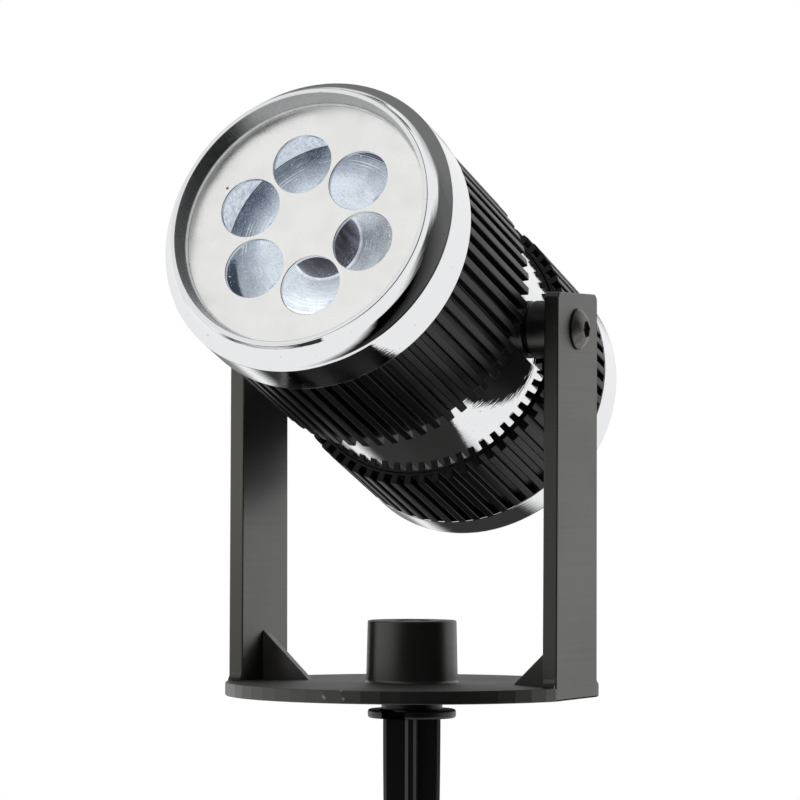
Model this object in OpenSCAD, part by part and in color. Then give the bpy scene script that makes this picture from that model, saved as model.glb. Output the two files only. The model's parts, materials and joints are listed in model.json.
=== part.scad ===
// Spot projector with six LEDs behind a drilled face plate, tilting in a yoke bracket that swivels on a
// ground stake.
// The origin is on the stake's axis at the ground line. +X runs along the tilt axis, the beam
// leaves towards -Y and +Z is up. The head is drawn at the tilt that it has at rest.

/* [Stake] */
// Length of the spike below the ground line
spike_len = 150; // [90:5:220]
// Width across the crossed fins at the top of the spike
fin_span = 15.5; // [13:0.5:18]
// Thickness of each fin
fin_t = 3; // [2:0.25:4]
// Turn of the fins from the tilt axis, in degrees
fin_turn = 22; // [0:1:89]
// Width of the spike's blunt tip
tip_w = 1.6; // [1:0.1:2.8]
// Width of the flange's ledge outside the fins
flange_ledge = 4.15; // [3:0.05:8]
// Thickness of the flange that rests on the ground
flange_t = 2.4; // [1.8:0.1:5]
// Rounding of the flange's rim
flange_round = 0.8; // [0.2:0.1:0.9]
// Diameter of the spigot that the bracket turns on
spigot_d = 12; // [9:0.5:13]
// Width of the neck's shoulder that carries the bracket
neck_ledge = 2.25; // [1.5:0.05:3]
// Height of the neck
neck_h = 3.6; // [2:0.1:8]

/* [Bracket] */
// Thickness of the round base plate
plate_t = 3.5; // [2.5:0.1:6]
// Flat sides on the plate's rim
plate_sides = 60; // [36:4:96]
// Plate left outside the arms' corners
plate_rim = 0.1; // [0.1:0.1:4]
// Gap between the head's widest ring and each arm
arm_clear = 3.5; // [2.5:0.1:8]
// Thickness of each arm
arm_t = 4.1; // [3:0.1:7]
// Width of each arm at its foot
arm_w_foot = 28; // [24:0.1:36]
// Width of each arm at its top
arm_w_top = 27; // [22:0.1:28]
// Height of the tilt axis above the plate
pivot_h = 94.9; // [90:0.5:130]
// Arm left above the tilt axis
arm_over = 9.6; // [8:0.1:16]
// Rounding of the arms' top corners
arm_round = 2; // [0.5:0.1:5]
// Fillet where an arm's edges meet the plate
foot_fillet = 2.6; // [1:0.1:5]
// Reach of the gussets along the plate
gusset_reach = 13.8; // [6:0.2:24]
// Height of the gussets on the arms
gusset_h = 13.4; // [6:0.2:24]
// Thickness of the gussets
gusset_t = 2.8; // [1.6:0.1:5]
// Wall of the post around the spigot at its top
post_wall = 6; // [4.5:0.1:9]
// Growth of the post's radius from top to foot
post_draft = 0.35; // [0.05:0.05:1]
// Height of the post above the plate
post_h = 16.7; // [13:0.1:26]
// Web that the swivel screw clamps, near the post's top
post_web = 3; // [2:0.1:4]

/* [Swivel screw] */
// Diameter of the screw's shank
swivel_d = 4; // [3:0.5:5]
// Height of the screw's head
swivel_head_h = 2.6; // [1.5:0.1:4]
// Diameter of the screw's head
swivel_head_d = 7; // [6:0.1:8]
// Length of thread in the spigot
swivel_grip = 9; // [4:0.5:11]
// Thickness of the washer under the head
swivel_washer_t = 0.8; // [0.5:0.1:1.5]
// Width of the washer outside the head
swivel_washer_ledge = 1.2; // [0.6:0.1:2]

/* [Tilt pivot] */
// Diameter of the pivot bolts
bolt_d = 6; // [4:0.5:8]
// Width of the bolt head outside the shank
bolt_head_ledge = 2.5; // [1.8:0.1:3.5]
// Height of the bolt's domed head
bolt_head_h = 2.9; // [2:0.1:4]
// Size of the hexagon socket across its corners
bolt_key = 4.6; // [3:0.1:5.5]
// Depth of the hexagon socket
bolt_key_h = 1.6; // [1:0.1:1.9]
// Wall of the round spacer between head and arm
boss_wall = 4.7; // [3:0.1:5.5]
// Chamfer at the spacer's inner end
boss_edge = 0.8; // [0.2:0.1:1.5]
// Thickness of the friction washers
friction_t = 0.6; // [0.4:0.1:1.2]
// Width of the flat beside the spacer's rim
flat_ledge = 1.55; // [1:0.05:3]
// Wall of the threaded block inside the tube
nut_wall = 3.5; // [2.5:0.1:5]
// Length of the threaded block
nut_len = 8; // [6:0.5:12]

/* [Head tube] */
// Tilt of the beam above the horizon at rest, in degrees
rest_tilt = 21.2; // [-20:0.1:80]
// Outer diameter of the polished tube
core_d = 73.5; // [70:0.5:90]
// Wall of the tube at the lamp end
core_wall = 2.75; // [2.4:0.05:4]
// Step inside the tube that the heat spreader rests on
core_step = 1; // [0.6:0.1:2]
// Polished band shown in front of the tilt axis
band_front = 16.2; // [12:0.1:24]
// Polished band shown behind the tilt axis
band_rear = 11.6; // [11:0.1:20]

/* [Heat sleeves] */
// Length of the front sleeve
front_sleeve_len = 42.1; // [30:0.1:60]
// Length of the rear sleeve
rear_sleeve_len = 29.4; // [24:0.1:45]
// Wall of the sleeves under the grooves
sleeve_wall = 0.75; // [0.5:0.05:1.2]
// Height of the ribs
rib_h = 2.5; // [1.5:0.1:3]
// Number of ribs round each sleeve
rib_count = 60; // [40:2:72]
// Width of each groove
groove_w = 2.05; // [1.2:0.05:2.4]

/* [Front bezel] */
// Wall of the bezel's wide ring over the tube
bezel_wall = 3.85; // [3.6:0.05:5]
// Length of the bezel's wide ring
ring_len = 12.7; // [8:0.1:18]
// Rounding of the wide ring's front edge
ring_round = 0.8; // [0.2:0.1:1]
// Rise of the lip in front of the wide ring
lip_rise = 6; // [5:0.1:9]
// Width of the flat land on the lip's top
lip_land = 1.2; // [0.8:0.05:1.6]
// Growth of the lip's radius from its top to its foot
lip_draft = 1.35; // [0.4:0.05:1.6]
// Rise of the sloping shoulder between ring and lip
shoulder_rise = 2.3; // [1:0.1:3]
// Hollow of the sloping shoulder
shoulder_hollow = 0.26; // [0:0.02:0.4]
// Ledge that holds the face plate, inside the tube's outline
seat_w = 2.85; // [2.5:0.05:4]
// Flare of the wall from the ledge to the lip
lip_flare = 1; // [0.5:0.05:1.8]
// Depth of the ledge below the lip
recess = 4.7; // [3.5:0.1:5.5]
// Thickness of the front and rear gaskets
gasket_t = 0.7; // [0.4:0.1:1.5]
// Gasket shown inside the ledge
gasket_show = 0.45; // [0.1:0.05:1]

/* [Lamps] */
// Thickness of the face plate
face_t = 1; // [0.8:0.1:4]
// Diameter of the six light holes
hole_d = 16.36; // [12:0.02:17]
// Metal left between two neighbouring holes
hole_web = 1.24; // [1.2:0.02:2]
// Turn of the ring of holes, in degrees
hole_turn = -16.3; // [-30:0.1:30]
// Depth of the round channel behind the holes
cup_depth = 12.6; // [9:0.1:16]
// Thickness of the channel's floor
cup_floor = 2; // [1.7:0.1:4]
// Wall of the cup outside the channel
cup_wall = 5.1; // [2:0.1:5.5]
// Diameter of the hub in the channel's middle
hub_d = 18.6; // [17.4:0.1:18.8]
// Width of the LED's square base
led_w = 2.2; // [1.6:0.1:2.8]
// Height of the LED's base
led_h = 0.7; // [0.4:0.1:0.8]
// Radius of the LED's dome
led_r = 0.9; // [0.5:0.1:0.9]
// Thickness of the LED board
board_t = 1.6; // [1:0.1:3]
// Diameter of the connector in the board's middle
plug_d = 9; // [7:0.5:10]
// Height of the connector
plug_h = 5; // [3:0.5:8]
// Thickness of the heat spreader
spreader_t = 6; // [5.6:0.2:10]

/* [Small screws] */
// Diameter of the small screws' thread
screw_d = 2.5; // [2:0.1:3]
// Diameter of the small screws' head
screw_head_d = 4.4; // [3.6:0.1:5]
// Height of the small screws' head
screw_head_h = 1.6; // [1:0.1:2.4]
// Thread of the small screws in hub and heat spreader
screw_grip = 5; // [3:0.2:5.2]

/* [Driver] */
// Depth of the tray's floor below the head's axis
tray_drop = 15; // [13:0.5:18]
// Thickness of the tray's sheet
tray_t = 1.5; // [1:0.1:2.5]
// Length of the tray
tray_len = 58; // [57:1:64]
// Width of the tray
tray_w = 40; // [38:1:44]
// Height of the tray's flange on the spreader
tray_flange_h = 11; // [9:0.5:12]
// Height of the tray's standoffs
standoff_h = 4; // [2:0.5:5]
// Diameter of the tray's standoffs
standoff_d = 5; // [4:0.5:7]
// Diameter of the pegs on the standoffs
peg_d = 2.6; // [2:0.1:3]
// Length of the driver board
driver_len = 48; // [46:1:52]
// Width of the driver board
driver_w = 36; // [34:1:37]
// Thickness of the driver board
driver_t = 1.6; // [1:0.1:2]
// Width of the transformer
transformer_w = 15; // [12:0.5:18]
// Length of the transformer
transformer_len = 18; // [14:0.5:20]
// Height of the transformer
transformer_h = 13; // [10:0.5:18]
// Diameter of the capacitor
capacitor_d = 10; // [6:0.5:11]
// Height of the capacitor
capacitor_h = 15; // [10:0.5:20]
// Width of the supply terminal
terminal_w = 12; // [10:0.5:14]
// Height of the supply terminal
terminal_h = 9; // [7:0.5:12]
// Length of both terminals along the board
terminal_len = 6; // [5:0.5:7]
// Wall of the lamp terminal outside its leads
terminal_wall = 1.5; // [1:0.1:2.5]
// Side of the control chip
chip_w = 5; // [4:0.5:7]
// Height of the control chip
chip_h = 1.8; // [1:0.1:2.5]
// Diameter of the leads to the LED board
lead_d = 1.6; // [1:0.1:2]
// Distance between the two leads
lead_pitch = 3; // [2.4:0.1:3.4]

/* [Rear end] */
// Wall of the rear ring over the tube
rear_wall = 3.25; // [2.6:0.05:4]
// Length of the rear ring
rear_len = 10.2; // [9:0.1:16]
// Rounding of the rear ring's back edge
rear_round = 2; // [0.5:0.1:2.4]
// Thickness of the rear ring's ledge
rear_ledge = 1.5; // [1:0.1:3]
// Thickness of the rear cover
cover_t = 3; // [2:0.1:4]

/* [Cord gland] */
// Diameter of the cord that the gland takes
cord_d = 6.4; // [4:0.1:7]
// Wall of the rubber seal
seal_wall = 1.4; // [1:0.1:2]
// Length of the rubber seal
seal_len = 6.8; // [4:0.1:9]
// Wall of the gland's stem around the seal
stem_wall = 1.4; // [1:0.1:2]
// Thickness of the gland's hexagon
gland_hex_t = 4; // [3:0.1:6]
// Width of the gland's hexagon outside its stem
gland_hex_ledge = 3.2; // [2.4:0.1:5]
// Thickness of the locknut inside the cover
locknut_t = 3.5; // [2.5:0.1:6]
// End wall of the gland's cap nut
cap_t = 1.7; // [1:0.1:3]

/* [Clearances] */
// Radial clearance of turning fits
run_gap = 0.05; // [0.02:0.01:0.1]
// Radial clearance of fixed fits
fit_gap = 0.05; // [0.02:0.01:0.1]
// Gap between flat faces that slide on each other
face_gap = 0.05; // [0.02:0.01:0.1]
// Gap left above the spigot and round loose edges
end_gap = 0.2; // [0.1:0.05:0.4]
// Radial gap of the swivel screw and washer in the turning bracket
loose_gap = 0.4; // [0.3:0.05:0.6]

/* [Hidden] */
$fn = 96;
// Cuts run past the faces that they open by this much
past = 1;
hole_count = 6;
arc_steps = 8;

// Levels of stake and bracket
neck_d = spigot_d + 2 * neck_ledge;
flange_d = fin_span + 2 * flange_ledge;
plate_z = flange_t + neck_h + face_gap;
plate_top = plate_z + plate_t;
pivot_z = plate_top + pivot_h;
post_top = plate_top + post_h;
post_r = spigot_d / 2 + post_wall;
sink_h = swivel_washer_t + swivel_head_h + end_gap + face_gap;
socket_top = post_top - sink_h - post_web;
spigot_top = socket_top - end_gap;
swivel_washer_d = swivel_head_d + 2 * swivel_washer_ledge;
swivel_washer_z = post_top - sink_h + face_gap;

// Radii of the head
core_r = core_d / 2;
bore_front_r = core_r - core_wall;
bore_rear_r = bore_front_r - core_step;
sleeve_r = core_r + sleeve_wall + rib_h;
bezel_r = core_r + bezel_wall;
rear_r = core_r + rear_wall;
ledge_r = core_r - seat_w;
lip_in_r = ledge_r + lip_flare;
hole_pitch = hole_d + hole_web;
channel_r = bore_front_r - cup_wall;
hub_r = hub_d / 2;
plug_room_r = plug_d / 2 + end_gap;
led_room_d = led_w * sqrt(2) + 2 * end_gap;
board_screw_r = (plug_room_r + hub_r) / 2;
board_screw_turn = 60;

// Places along the head's axis, forward of the tilt axis
bezel_u = band_front + front_sleeve_len;
bezel_len = ring_len + lip_rise;
ledge_u = bezel_u + bezel_len - recess;
face_u = ledge_u - gasket_t;
core_front = face_u - face_t;
floor_u = core_front - cup_depth;
board_u = floor_u - cup_floor;
spreader_front = board_u - board_t;
spreader_back = spreader_front - spreader_t;
rear_u = -band_rear - rear_sleeve_len;
back_u = rear_u - rear_len;
cover_back = back_u + rear_ledge;
cover_front = cover_back + cover_t;
core_back = cover_front + gasket_t;

// Places along the tilt axis
arm_in = max(bezel_r, sleeve_r, rear_r) + arm_clear;
arm_out = arm_in + arm_t;
plate_in_r = sqrt(pow(arm_out, 2) + pow(arm_w_foot / 2, 2)) + plate_rim;
plate_r = plate_in_r / cos(180 / plate_sides);
bolt_head_d = bolt_d + 2 * bolt_head_ledge;
boss_d = bolt_d + 2 * boss_wall;
flat_w = boss_d + 2 * flat_ledge;
flat_x = sqrt(pow(core_r, 2) - pow(flat_w / 2, 2));
friction_x = arm_in - face_gap - friction_t;
nut_d = bolt_d + 2 * nut_wall;
nut_x = bore_rear_r - nut_len;

// Driver in the space behind the heat spreader
driver_y = -tray_drop + standoff_h;
driver_top = driver_y + driver_t;
driver_gap = 4;
driver_front = spreader_back - tray_t - driver_gap;
driver_mid = driver_front - driver_len / 2;
driver_back = driver_front - driver_len;
peg_inset = 4;
tray_screw_inset = 6;
tray_screw_x = tray_w / 2 - tray_screw_inset;
tray_screw_y = -tray_drop + tray_flange_h / 2;
terminal_inset = 2;
terminal_front = driver_front - terminal_inset;
terminal_top = lead_d / 2 + terminal_wall;
transformer_x = 5;
capacitor_x = -9;
terminal_x = -5;
chip_x = 7;
chip_inset = 10;

// Gland behind the rear cover, measured backwards from the cover's back face
seal_r = cord_d / 2 + seal_wall;
stem_r = seal_r + fit_gap + stem_wall;
seal_floor = 2;
seal_start = gland_hex_t + seal_floor;
seal_end = seal_start + seal_len;
stem_end = seal_end - end_gap;
cap_gap = 0.6;
cap_start = gland_hex_t + cap_gap;
cap_end = seal_end + cap_t;
gland_hex_r = stem_r + gland_hex_ledge;
cord_gap = 0.3;
gland_bore_r = cord_d / 2 + cord_gap;
thread_over = 1.5;
stem_start = -cover_t - locknut_t - thread_over;

// Colours
black_plastic = [0.07, 0.07, 0.07];
black_metal = [0.1, 0.1, 0.1];
polished = [0.85, 0.86, 0.88];
satin = [0.8, 0.8, 0.79];
dark_steel = [0.35, 0.33, 0.31];
rubber = [0.15, 0.15, 0.15];
clear_seal = [0.8, 0.81, 0.82];
turned = [0.72, 0.76, 0.82];
board_green = [0.1, 0.35, 0.2];
terminal_green = [0.1, 0.4, 0.25];
tape_yellow = [0.75, 0.65, 0.2];
can_blue = [0.12, 0.14, 0.25];
lead_red = [0.7, 0.1, 0.1];
lit_white = [0.9, 0.95, 1];

// Points along an arc about a centre, from one angle to another
function arc(centre, radius, from, to) = [
    for (i = [0 : arc_steps])
        let (angle = from + (to - from) * i / arc_steps)
            [centre.x + radius * cos(angle), centre.y + radius * sin(angle)]
];

// Points of a shallow hollow after its first point: a parabola that sinks by the depth at its middle
function hollow(first, last, depth) =
    let (side = [last.y - first.y, first.x - last.x] / norm(last - first))
        [
            for (i = [1 : arc_steps])
                let (share = i / arc_steps)
                    first + share * (last - first) - 4 * depth * share * (1 - share) * side
        ];

// Half width of the spike at a share of its length: a parabola down to the blunt tip
function spike_half(share) = tip_w / 2 + (fin_span - tip_w) / 2 * (1 - share * share);

// The head's own frame: z runs forward along the beam, x along the tilt axis
module on_head() {
    translate([0, 0, pivot_z])
        rotate([90 - rest_tilt, 0, 0])
            children();
}

// A frame on the tilt axis whose z points out through one arm: 1 is right, -1 is left
module on_pivot(side) {
    on_head()
        rotate([0, 90 * side, 0])
            children();
}

// A frame behind the rear cover whose z points backwards out of the gland
module on_gland() {
    on_head()
        translate([0, 0, cover_back])
            rotate([180, 0, 0])
                children();
}

// Place of each light hole in the head's frame
module at_hole(index) {
    rotate([0, 0, hole_turn + index * 360 / hole_count])
        translate([hole_pitch, 0, 0])
            children();
}

// Places of the board's screws in the head's frame
module at_board_screws() {
    for (side = [-1, 1])
        rotate([0, 0, side * board_screw_turn])
            translate([0, board_screw_r, 0])
                children();
}

// Places of the tray's screws in the head's frame
module at_tray_screws() {
    for (side = [-1, 1])
        translate([side * tray_screw_x, tray_screw_y, 0])
            children();
}

// Places of the driver board's pegs, at the height of the tray's floor
module at_pegs() {
    for (side = [-1, 1])
        for (end = [-1, 1])
            translate([
                side * (driver_w / 2 - peg_inset),
                -tray_drop,
                driver_mid + end * (driver_len / 2 - peg_inset)
            ])
                rotate([-90, 0, 0])
                    children();
}

// A small round-headed screw whose thread goes down from the origin
module small_screw(through) {
    cylinder(h = screw_head_h, d = screw_head_d);
    translate([0, 0, -through - screw_grip])
        cylinder(h = through + screw_grip, d = screw_d);
}

// A hole for the thread of a small screw, down from the origin
module screw_hole(depth) {
    translate([0, 0, -depth])
        cylinder(h = depth + past, d = screw_d + 2 * fit_gap);
}

// A box on the driver board, given by its middle, its width, its length and its height
module on_driver(x, u, width, length, height) {
    on_head()
        translate([x - width / 2, driver_top, u - length / 2])
            cube([width, height, length]);
}

// Stake

module fin_outline() {
    steps = 24;
    right = [for (i = [0 : steps]) [spike_half(i / steps), -spike_len * i / steps]];
    left = [for (i = [steps : -1 : 0]) [-spike_half(i / steps), -spike_len * i / steps]];
    polygon(concat(right, left));
}

module spike_slab(thickness) {
    rotate([90, 0, 0])
        linear_extrude(thickness, center = true)
            fin_outline();
}

// One fin, pinched to the spike's tip both ways
module fin() {
    intersection() {
        spike_slab(fin_t);
        rotate([0, 0, 90])
            spike_slab(2 * fin_span);
    }
}

module flange() {
    rim = flange_d / 2;
    rotate_extrude()
        polygon(concat(
            [[0, 0]],
            arc([rim - flange_round, flange_round], flange_round, -90, 0),
            arc([rim - flange_round, flange_t - flange_round], flange_round, 0, 90),
            [[0, flange_t]]
        ));
}

// The open notch between two neighbouring fins
module flange_notch() {
    translate([-fin_span / 2, -flange_d, -past])
        cube([fin_span / 2 - fin_t / 2, flange_d - fin_t / 2, flange_t + past]);
}

module stake() {
    color(black_plastic)
        difference() {
            union() {
                rotate([0, 0, fin_turn]) {
                    fin();
                    rotate([0, 0, 90])
                        fin();
                    difference() {
                        flange();
                        flange_notch();
                    }
                }
                translate([0, 0, flange_t])
                    cylinder(h = neck_h, d = neck_d);
                cylinder(h = spigot_top, d = spigot_d);
            }
            translate([0, 0, spigot_top - swivel_grip - end_gap])
                cylinder(h = swivel_grip + end_gap + past, d = swivel_d + 2 * fit_gap);
        }
}

module swivel_washer() {
    color(dark_steel)
        translate([0, 0, swivel_washer_z])
            difference() {
                cylinder(h = swivel_washer_t, d = swivel_washer_d);
                translate([0, 0, -past])
                    cylinder(h = swivel_washer_t + 2 * past, d = swivel_d + 2 * fit_gap);
            }
}

module swivel_screw() {
    head_z = swivel_washer_z + swivel_washer_t;
    color(dark_steel)
        difference() {
            union() {
                translate([0, 0, head_z])
                    cylinder(h = swivel_head_h, d = swivel_head_d);
                translate([0, 0, spigot_top - swivel_grip])
                    cylinder(h = head_z - spigot_top + swivel_grip, d = swivel_d);
            }
            translate([0, 0, head_z + swivel_head_h / 2])
                cylinder(h = swivel_head_h, d = swivel_head_d / 2, $fn = 6);
        }
}

// Bracket

module plate_outline() {
    intersection() {
        polygon([
            for (i = [0 : plate_sides - 1])
                let (angle = (i + 0.5) * 360 / plate_sides)
                    [plate_r * cos(angle), plate_r * sin(angle)]
        ]);
        square([2 * arm_out, 3 * plate_r], center = true);
    }
}

// Arm seen along the tilt axis, from the plate's underside to the rounded top corners
module arm_outline() {
    foot = arm_w_foot / 2;
    top = arm_w_top / 2;
    top_z = pivot_z + arm_over;
    polygon(concat(
        [[-foot, plate_z], [foot, plate_z], [foot, plate_top + foot_fillet]],
        arc([top - arm_round, top_z - arm_round], arm_round, 0, 90),
        arc([arm_round - top, top_z - arm_round], arm_round, 90, 180),
        [[-foot, plate_top + foot_fillet]]
    ));
}

// Hollow fillets at the front and back edges of the arm's foot
module foot_fillets_outline() {
    for (side = [-1, 1])
        translate([side * arm_w_foot / 2, plate_top])
            difference() {
                translate([side > 0 ? -past : -foot_fillet, -past])
                    square([foot_fillet + past, foot_fillet + past]);
                translate([side * foot_fillet, foot_fillet])
                    circle(foot_fillet);
            }
}

// Turns an outline in the Y and Z directions into a slab along X
module slab(x, thickness) {
    translate([x, 0, 0])
        rotate([90, 0, 90])
            linear_extrude(thickness)
                children();
}

module arm(side) {
    start = side > 0 ? arm_in : -arm_out;
    slab(start, arm_t)
        arm_outline();
    intersection() {
        slab(start, arm_t)
            foot_fillets_outline();
        linear_extrude(pivot_z)
            plate_outline();
    }
    translate([side * arm_in, gusset_t / 2, plate_top])
        rotate([90, 0, 0])
            linear_extrude(gusset_t)
                polygon([
                    [side * past, -past],
                    [-side * gusset_reach, -past],
                    [-side * gusset_reach, 0],
                    [0, gusset_h],
                    [side * past, gusset_h]
                ]);
}

module post() {
    foot_r = post_r + post_draft;
    foot_round = 0.8;
    rotate_extrude()
        polygon(concat(
            [[0, plate_z], [foot_r + foot_round, plate_z]],
            arc([foot_r + foot_round, plate_top + foot_round], foot_round, 270, 180),
            [[post_r, post_top], [0, post_top]]
        ));
}

module yoke_bracket() {
    socket_r = spigot_d / 2 + run_gap;
    color(black_plastic)
        difference() {
            union() {
                translate([0, 0, plate_z])
                    linear_extrude(plate_t)
                        plate_outline();
                arm(1);
                arm(-1);
                post();
            }
            translate([0, 0, plate_z - past])
                cylinder(h = socket_top - plate_z + past, r = socket_r);
            cylinder(h = post_top, d = swivel_d + 2 * loose_gap);
            translate([0, 0, post_top - sink_h])
                cylinder(h = sink_h + past, d = swivel_washer_d + 2 * loose_gap);
            translate([-arm_out - past, 0, pivot_z])
                rotate([0, 90, 0])
                    cylinder(h = 2 * (arm_out + past), d = bolt_d + 2 * run_gap);
        }
}

// Tilt pivot

module bolt_dome() {
    rim = bolt_head_d / 2;
    edge = bolt_head_h / 6;
    crown_r = (pow(rim, 2) + pow(bolt_head_h - edge, 2)) / (2 * (bolt_head_h - edge));
    flat_angle = acos((crown_r - bolt_head_h + edge) / crown_r);
    rotate_extrude()
        polygon(concat(
            [[0, 0], [rim, 0]],
            arc([0, bolt_head_h - crown_r], crown_r, 90 - flat_angle, 90)
        ));
}

module pivot_bolt(side) {
    head_x = arm_out + face_gap;
    color(dark_steel)
        on_pivot(side)
            difference() {
                union() {
                    translate([0, 0, head_x])
                        bolt_dome();
                    translate([0, 0, nut_x])
                        cylinder(h = head_x - nut_x + bolt_head_h / 4, d = bolt_d);
                }
                translate([0, 0, head_x + bolt_head_h - bolt_key_h])
                    cylinder(h = bolt_key_h + past, d = bolt_key, $fn = 6);
            }
}

module pivot_boss(side) {
    color(black_plastic)
        on_pivot(side)
            difference() {
                union() {
                    translate([0, 0, flat_x])
                        cylinder(h = boss_edge, d1 = boss_d - 2 * boss_edge, d2 = boss_d);
                    translate([0, 0, flat_x + boss_edge])
                        cylinder(h = friction_x - flat_x - boss_edge, d = boss_d);
                }
                translate([0, 0, flat_x - past])
                    cylinder(h = friction_x - flat_x + 2 * past, d = bolt_d + 2 * fit_gap);
            }
}

module friction_washer(side) {
    color(rubber)
        on_pivot(side)
            translate([0, 0, friction_x])
                difference() {
                    cylinder(h = friction_t, d = boss_d);
                    translate([0, 0, -past])
                        cylinder(h = friction_t + 2 * past, d = bolt_d + 2 * fit_gap);
                }
}

module pivot_nut(side) {
    color(dark_steel)
        difference() {
            intersection() {
                on_pivot(side)
                    translate([0, 0, nut_x])
                        cylinder(h = bore_rear_r, d = nut_d);
                on_head()
                    translate([0, 0, -nut_d])
                        cylinder(h = 2 * nut_d, r = bore_rear_r - fit_gap);
            }
            on_pivot(side)
                translate([0, 0, nut_x - past])
                    cylinder(h = bore_rear_r, d = bolt_d + 2 * fit_gap);
        }
}

// Tube and sleeves

module core_tube() {
    color(polished)
        on_head()
            difference() {
                translate([0, 0, core_back])
                    cylinder(h = core_front - core_back, r = core_r);
                translate([0, 0, core_back - past])
                    cylinder(h = core_front - core_back + 2 * past, r = bore_rear_r);
                translate([0, 0, spreader_back])
                    cylinder(h = core_front - spreader_back + past, r = bore_front_r);
                for (side = [-1, 1])
                    translate([side * (flat_x + core_r / 2), 0, (band_front - band_rear) / 2])
                        cube([core_r, flat_w, band_front + band_rear], center = true);
                rotate([0, 90, 0])
                    cylinder(h = 2 * core_d, d = bolt_d + 2 * fit_gap, center = true);
            }
}

module sleeve(start, length) {
    floor_r = core_r + sleeve_wall;
    color(black_metal)
        on_head()
            translate([0, 0, start])
                linear_extrude(length)
                    difference() {
                        circle(sleeve_r);
                        circle(core_r + fit_gap);
                        for (i = [0 : rib_count - 1])
                            rotate((i + 0.5) * 360 / rib_count)
                                translate([floor_r, -groove_w / 2])
                                    square([rib_h + past, groove_w]);
                    }
}

module front_sleeve() {
    sleeve(band_front, front_sleeve_len);
}

module rear_sleeve() {
    sleeve(rear_u, rear_sleeve_len);
}

// Front end

module front_bezel() {
    bore_r = core_r + fit_gap;
    edge = 0.4;
    lip_edge = 0.3;
    slope_end = 64;
    slope_start = [
        bezel_r - ring_round + ring_round * cos(slope_end),
        ring_len - ring_round + ring_round * sin(slope_end)
    ];
    lip_top_r = lip_in_r + lip_land;
    lip_foot_r = lip_top_r + lip_draft;
    ledge = bezel_len - recess;
    color(polished)
        on_head()
            translate([0, 0, bezel_u])
                rotate_extrude()
                    polygon(concat(
                        [[bore_r, 0], [bezel_r - edge, 0], [bezel_r, edge]],
                        arc([bezel_r - ring_round, ring_len - ring_round], ring_round, 0, slope_end),
                        hollow(slope_start, [lip_foot_r, ring_len + shoulder_rise], shoulder_hollow),
                        arc([lip_top_r - lip_edge, bezel_len - lip_edge], lip_edge, 20, 90),
                        arc([lip_in_r + lip_edge, bezel_len - lip_edge], lip_edge, 90, 180),
                        [[ledge_r, ledge], [bore_r, ledge]]
                    ));
}

module front_gasket() {
    color(clear_seal)
        on_head()
            translate([0, 0, face_u])
                difference() {
                    cylinder(h = gasket_t, r = core_r - end_gap);
                    translate([0, 0, -past])
                        cylinder(h = gasket_t + 2 * past, r = ledge_r - gasket_show);
                }
}

module face_plate() {
    color(satin)
        on_head()
            translate([0, 0, core_front])
                difference() {
                    cylinder(h = face_t, r = core_r - end_gap);
                    for (i = [0 : hole_count - 1])
                        at_hole(i)
                            translate([0, 0, -past])
                                cylinder(h = face_t + 2 * past, d = hole_d);
                }
}

// Round channel that the light holes look into
module channel() {
    translate([0, 0, floor_u])
        difference() {
            cylinder(h = cup_depth + past, r = channel_r);
            translate([0, 0, -past])
                cylinder(h = cup_depth + 3 * past, r = hub_r);
        }
}

// Turned cup: a channel in front, room for the LEDs in its floor and for the connector in its hub
module reflector_cup() {
    color(turned)
        on_head()
            difference() {
                translate([0, 0, board_u])
                    cylinder(h = core_front - board_u, r = bore_front_r - fit_gap);
                channel();
                translate([0, 0, board_u - past])
                    cylinder(h = plug_h + end_gap + past, r = plug_room_r);
                for (i = [0 : hole_count - 1])
                    at_hole(i)
                        translate([0, 0, board_u - past])
                            cylinder(h = cup_floor + 2 * past, d = led_room_d);
                translate([0, 0, board_u])
                    rotate([0, 180, 0])
                        at_board_screws()
                            screw_hole(screw_grip + end_gap);
            }
}

module led_emitter(index) {
    color(lit_white)
        on_head()
            at_hole(index)
                translate([0, 0, board_u]) {
                    translate([-led_w / 2, -led_w / 2, 0])
                        cube([led_w, led_w, led_h]);
                    translate([0, 0, led_h])
                        rotate_extrude()
                            polygon(concat([[0, 0]], arc([0, 0], led_r, 0, 90)));
                }
}

module led_board() {
    color(board_green)
        on_head()
            translate([0, 0, spreader_front])
                difference() {
                    cylinder(h = board_t, r = bore_front_r - end_gap);
                    translate([0, 0, -past])
                        cylinder(h = board_t + 2 * past, d = plug_d / 2 + lead_d);
                    at_board_screws()
                        translate([0, 0, board_t])
                            screw_hole(board_t + past);
                }
}

module board_screws() {
    color(dark_steel)
        on_head()
            translate([0, 0, spreader_back])
                rotate([0, 180, 0])
                    at_board_screws()
                        small_screw(spreader_t + board_t);
}

module led_connector() {
    color(rubber)
        on_head()
            translate([0, 0, board_u])
                cylinder(h = plug_h, d = plug_d);
}

module heat_spreader() {
    color(satin)
        on_head()
            difference() {
                translate([0, 0, spreader_back])
                    cylinder(h = spreader_t, r = bore_front_r - fit_gap);
                translate([0, 0, spreader_back - past])
                    cylinder(h = spreader_t + 2 * past, d = plug_d / 2 + lead_d);
                translate([0, 0, spreader_front])
                    at_board_screws()
                        screw_hole(spreader_t + past);
                translate([0, 0, spreader_back])
                    rotate([0, 180, 0])
                        at_tray_screws()
                            screw_hole(screw_grip + end_gap);
            }
}

// Driver

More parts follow.
